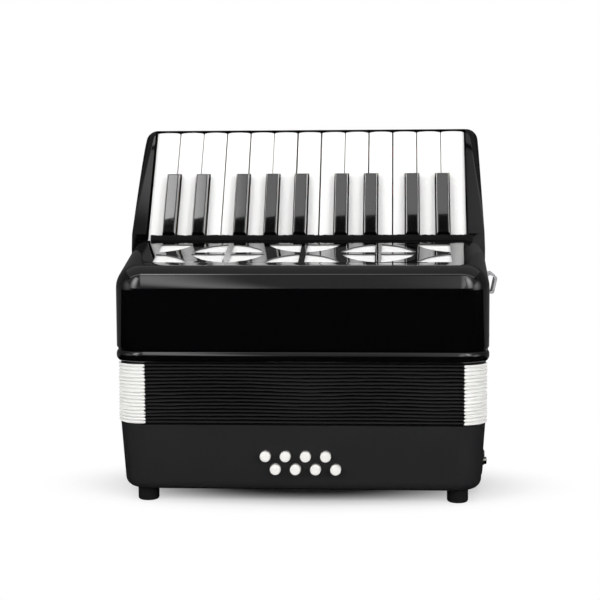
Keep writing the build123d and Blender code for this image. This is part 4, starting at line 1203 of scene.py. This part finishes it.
def card(name, corners, base=0.0, glows=()):
    """Glowing card that only mirror rays see. A glow is a centre, a reach each way and a strength."""
    bm = bmesh.new()
    bm.faces.new([bm.verts.new(corner) for corner in corners])
    glow = bpy.data.materials.new(name)
    glow.use_nodes = True
    tree = glow.node_tree
    tree.nodes.clear()
    light = tree.nodes.new("ShaderNodeEmission")
    light.inputs["Strength"].default_value = base
    place = tree.nodes.new("ShaderNodeTexCoord")
    total = None
    for centre, reach, brightness in glows:
        shares = tree.nodes.new("ShaderNodeVectorMath")
        shares.operation = "MULTIPLY_ADD"
        shares.inputs[1].default_value = [1 / (MM * r) for r in reach]
        shares.inputs[2].default_value = [-c / r for c, r in zip(centre, reach)]
        tree.links.new(place.outputs["Object"], shares.inputs[0])
        apart = tree.nodes.new("ShaderNodeVectorMath")
        apart.operation = "LENGTH"
        tree.links.new(shares.outputs[0], apart.inputs[0])
        here = ramp_value(tree, apart.outputs["Value"], 1.0, 0.0, 0.0 if total else base, brightness)
        if total:
            both = tree.nodes.new("ShaderNodeMath")
            tree.links.new(total, both.inputs[0])
            tree.links.new(here, both.inputs[1])
            here = both.outputs[0]
        total = here
    if total:
        tree.links.new(total, light.inputs["Strength"])
    out = tree.nodes.new("ShaderNodeOutputMaterial")
    tree.links.new(light.outputs[0], out.inputs["Surface"])
    sheet = put(name, bm, glow)
    sheet.visible_camera = False
    sheet.visible_diffuse = False
    sheet.visible_shadow = False
    sheet.visible_transmission = False
    sheet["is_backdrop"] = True
    staged.append(name)


def seen_from_keys(elevation, height):
    """Depth of a point overhead that the keys see at an elevation, in degrees."""
    middle_y, middle_z = key_point(35, 8)
    return middle_y - (height - middle_z) / math.tan(math.radians(elevation))


def band(low_elevation, high_elevation, half_width, height=1450, skew=0.0):
    """Corners of a level card before the keys, between two elevations, a little askew."""
    near, far = [seen_from_keys(e, height) for e in (high_elevation, low_elevation)]
    return [(-half_width, far - skew, height), (half_width, far + skew, height),
            (half_width, near + skew, height), (-half_width, near - skew, height)]


def upright(azimuth, width, distance, low, high):
    """Corners of an upright card that faces the object, azimuth in degrees from the front."""
    out = Vector((math.sin(math.radians(azimuth)), -math.cos(math.radians(azimuth)), 0))
    side = Vector((-out.y, out.x, 0)) * width / 2
    foot = out * distance
    return [foot - side + Vector((0, 0, low)), foot + side + Vector((0, 0, low)),
            foot + side + Vector((0, 0, high)), foot - side + Vector((0, 0, high))]


# %% [markdown]
# Below and before the object the cards are black, so that the walls of the hood and the
# casing stay deep. The tall front card is dim with two lighter patches, the strip above
# it draws the highlight along the lip, and the cards at the back keep the white floor out
# of the outer edges.

# %% Cards
deep_left = (190, 4000, 4000)
card("table_card", [(-5000, -5000, 1), (5000, -5000, 1), (5000, 300, 1), (-5000, 300, 1)])
card("low_card", [(-5000, -3000, 1), (5000, -3000, 1), (5000, -3000, 470), (-5000, -3000, 470)])
band_start, strip_start, strip_end, overhead = 62, 65.3, 72.0, 1450
front_end = seen_from_keys(band_start, overhead)
card("front_card", [(-4000, -3000, 471), (4000, -3000, 471), (4000, front_end, overhead),
                    (-4000, front_end, overhead)], 0.18,
     [((-375, -1300, 1180), deep_left, 1.15), ((700, -1300, 1180), (700, 4000, 4000), 1.05)])
card("dark_band", band(band_start, strip_start, 4000, skew=60), 0.01)
card("strip_card", band(strip_start, strip_end, 1500, skew=22), 0.62,
     [((-345, -500, overhead), deep_left, 2.1)])
card("left_card", [(-2600, -3000, 1), (-2600, 7000, 1), (-2600, 7000, 2400), (-2600, -3000, 2400)],
     0.06, [((-2600, -1200, 800), (1400, 1400, 1400), 0.5)])
card("right_card", [(2600, -3000, 1), (2600, 7000, 1), (2600, 7000, 2400), (2600, -3000, 2400)],
     0.06, [((2600, -1150, 700), (1300, 1300, 1300), 1.0)])
for word, side in (("left", -1), ("right", 1)):
    card("back_card_" + word, [(side * 350, 3000, 1), (side * 6000, 3000, 1), (side * 6000, 3000, 3000),
                               (side * 350, 3000, 3000)], 0.06)
    card("back_table_" + word, [(side * 350, 300, 1), (side * 6000, 300, 1), (side * 6000, 3000, 1),
                                (side * 350, 3000, 1)], 0.08)
    card("tall_card_" + word, upright(side * 43, 480, 1000, 250, 1300), 0.4,
         [((side * 680, -730, 800), (260, 260, 900), 2.6)])
print("cards:", len(staged))

# %% [markdown]
# ## Bounds
# The bounds of all shown pieces, floor and cards left out, are taken last.

# %% Sizes and finish
low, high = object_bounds()
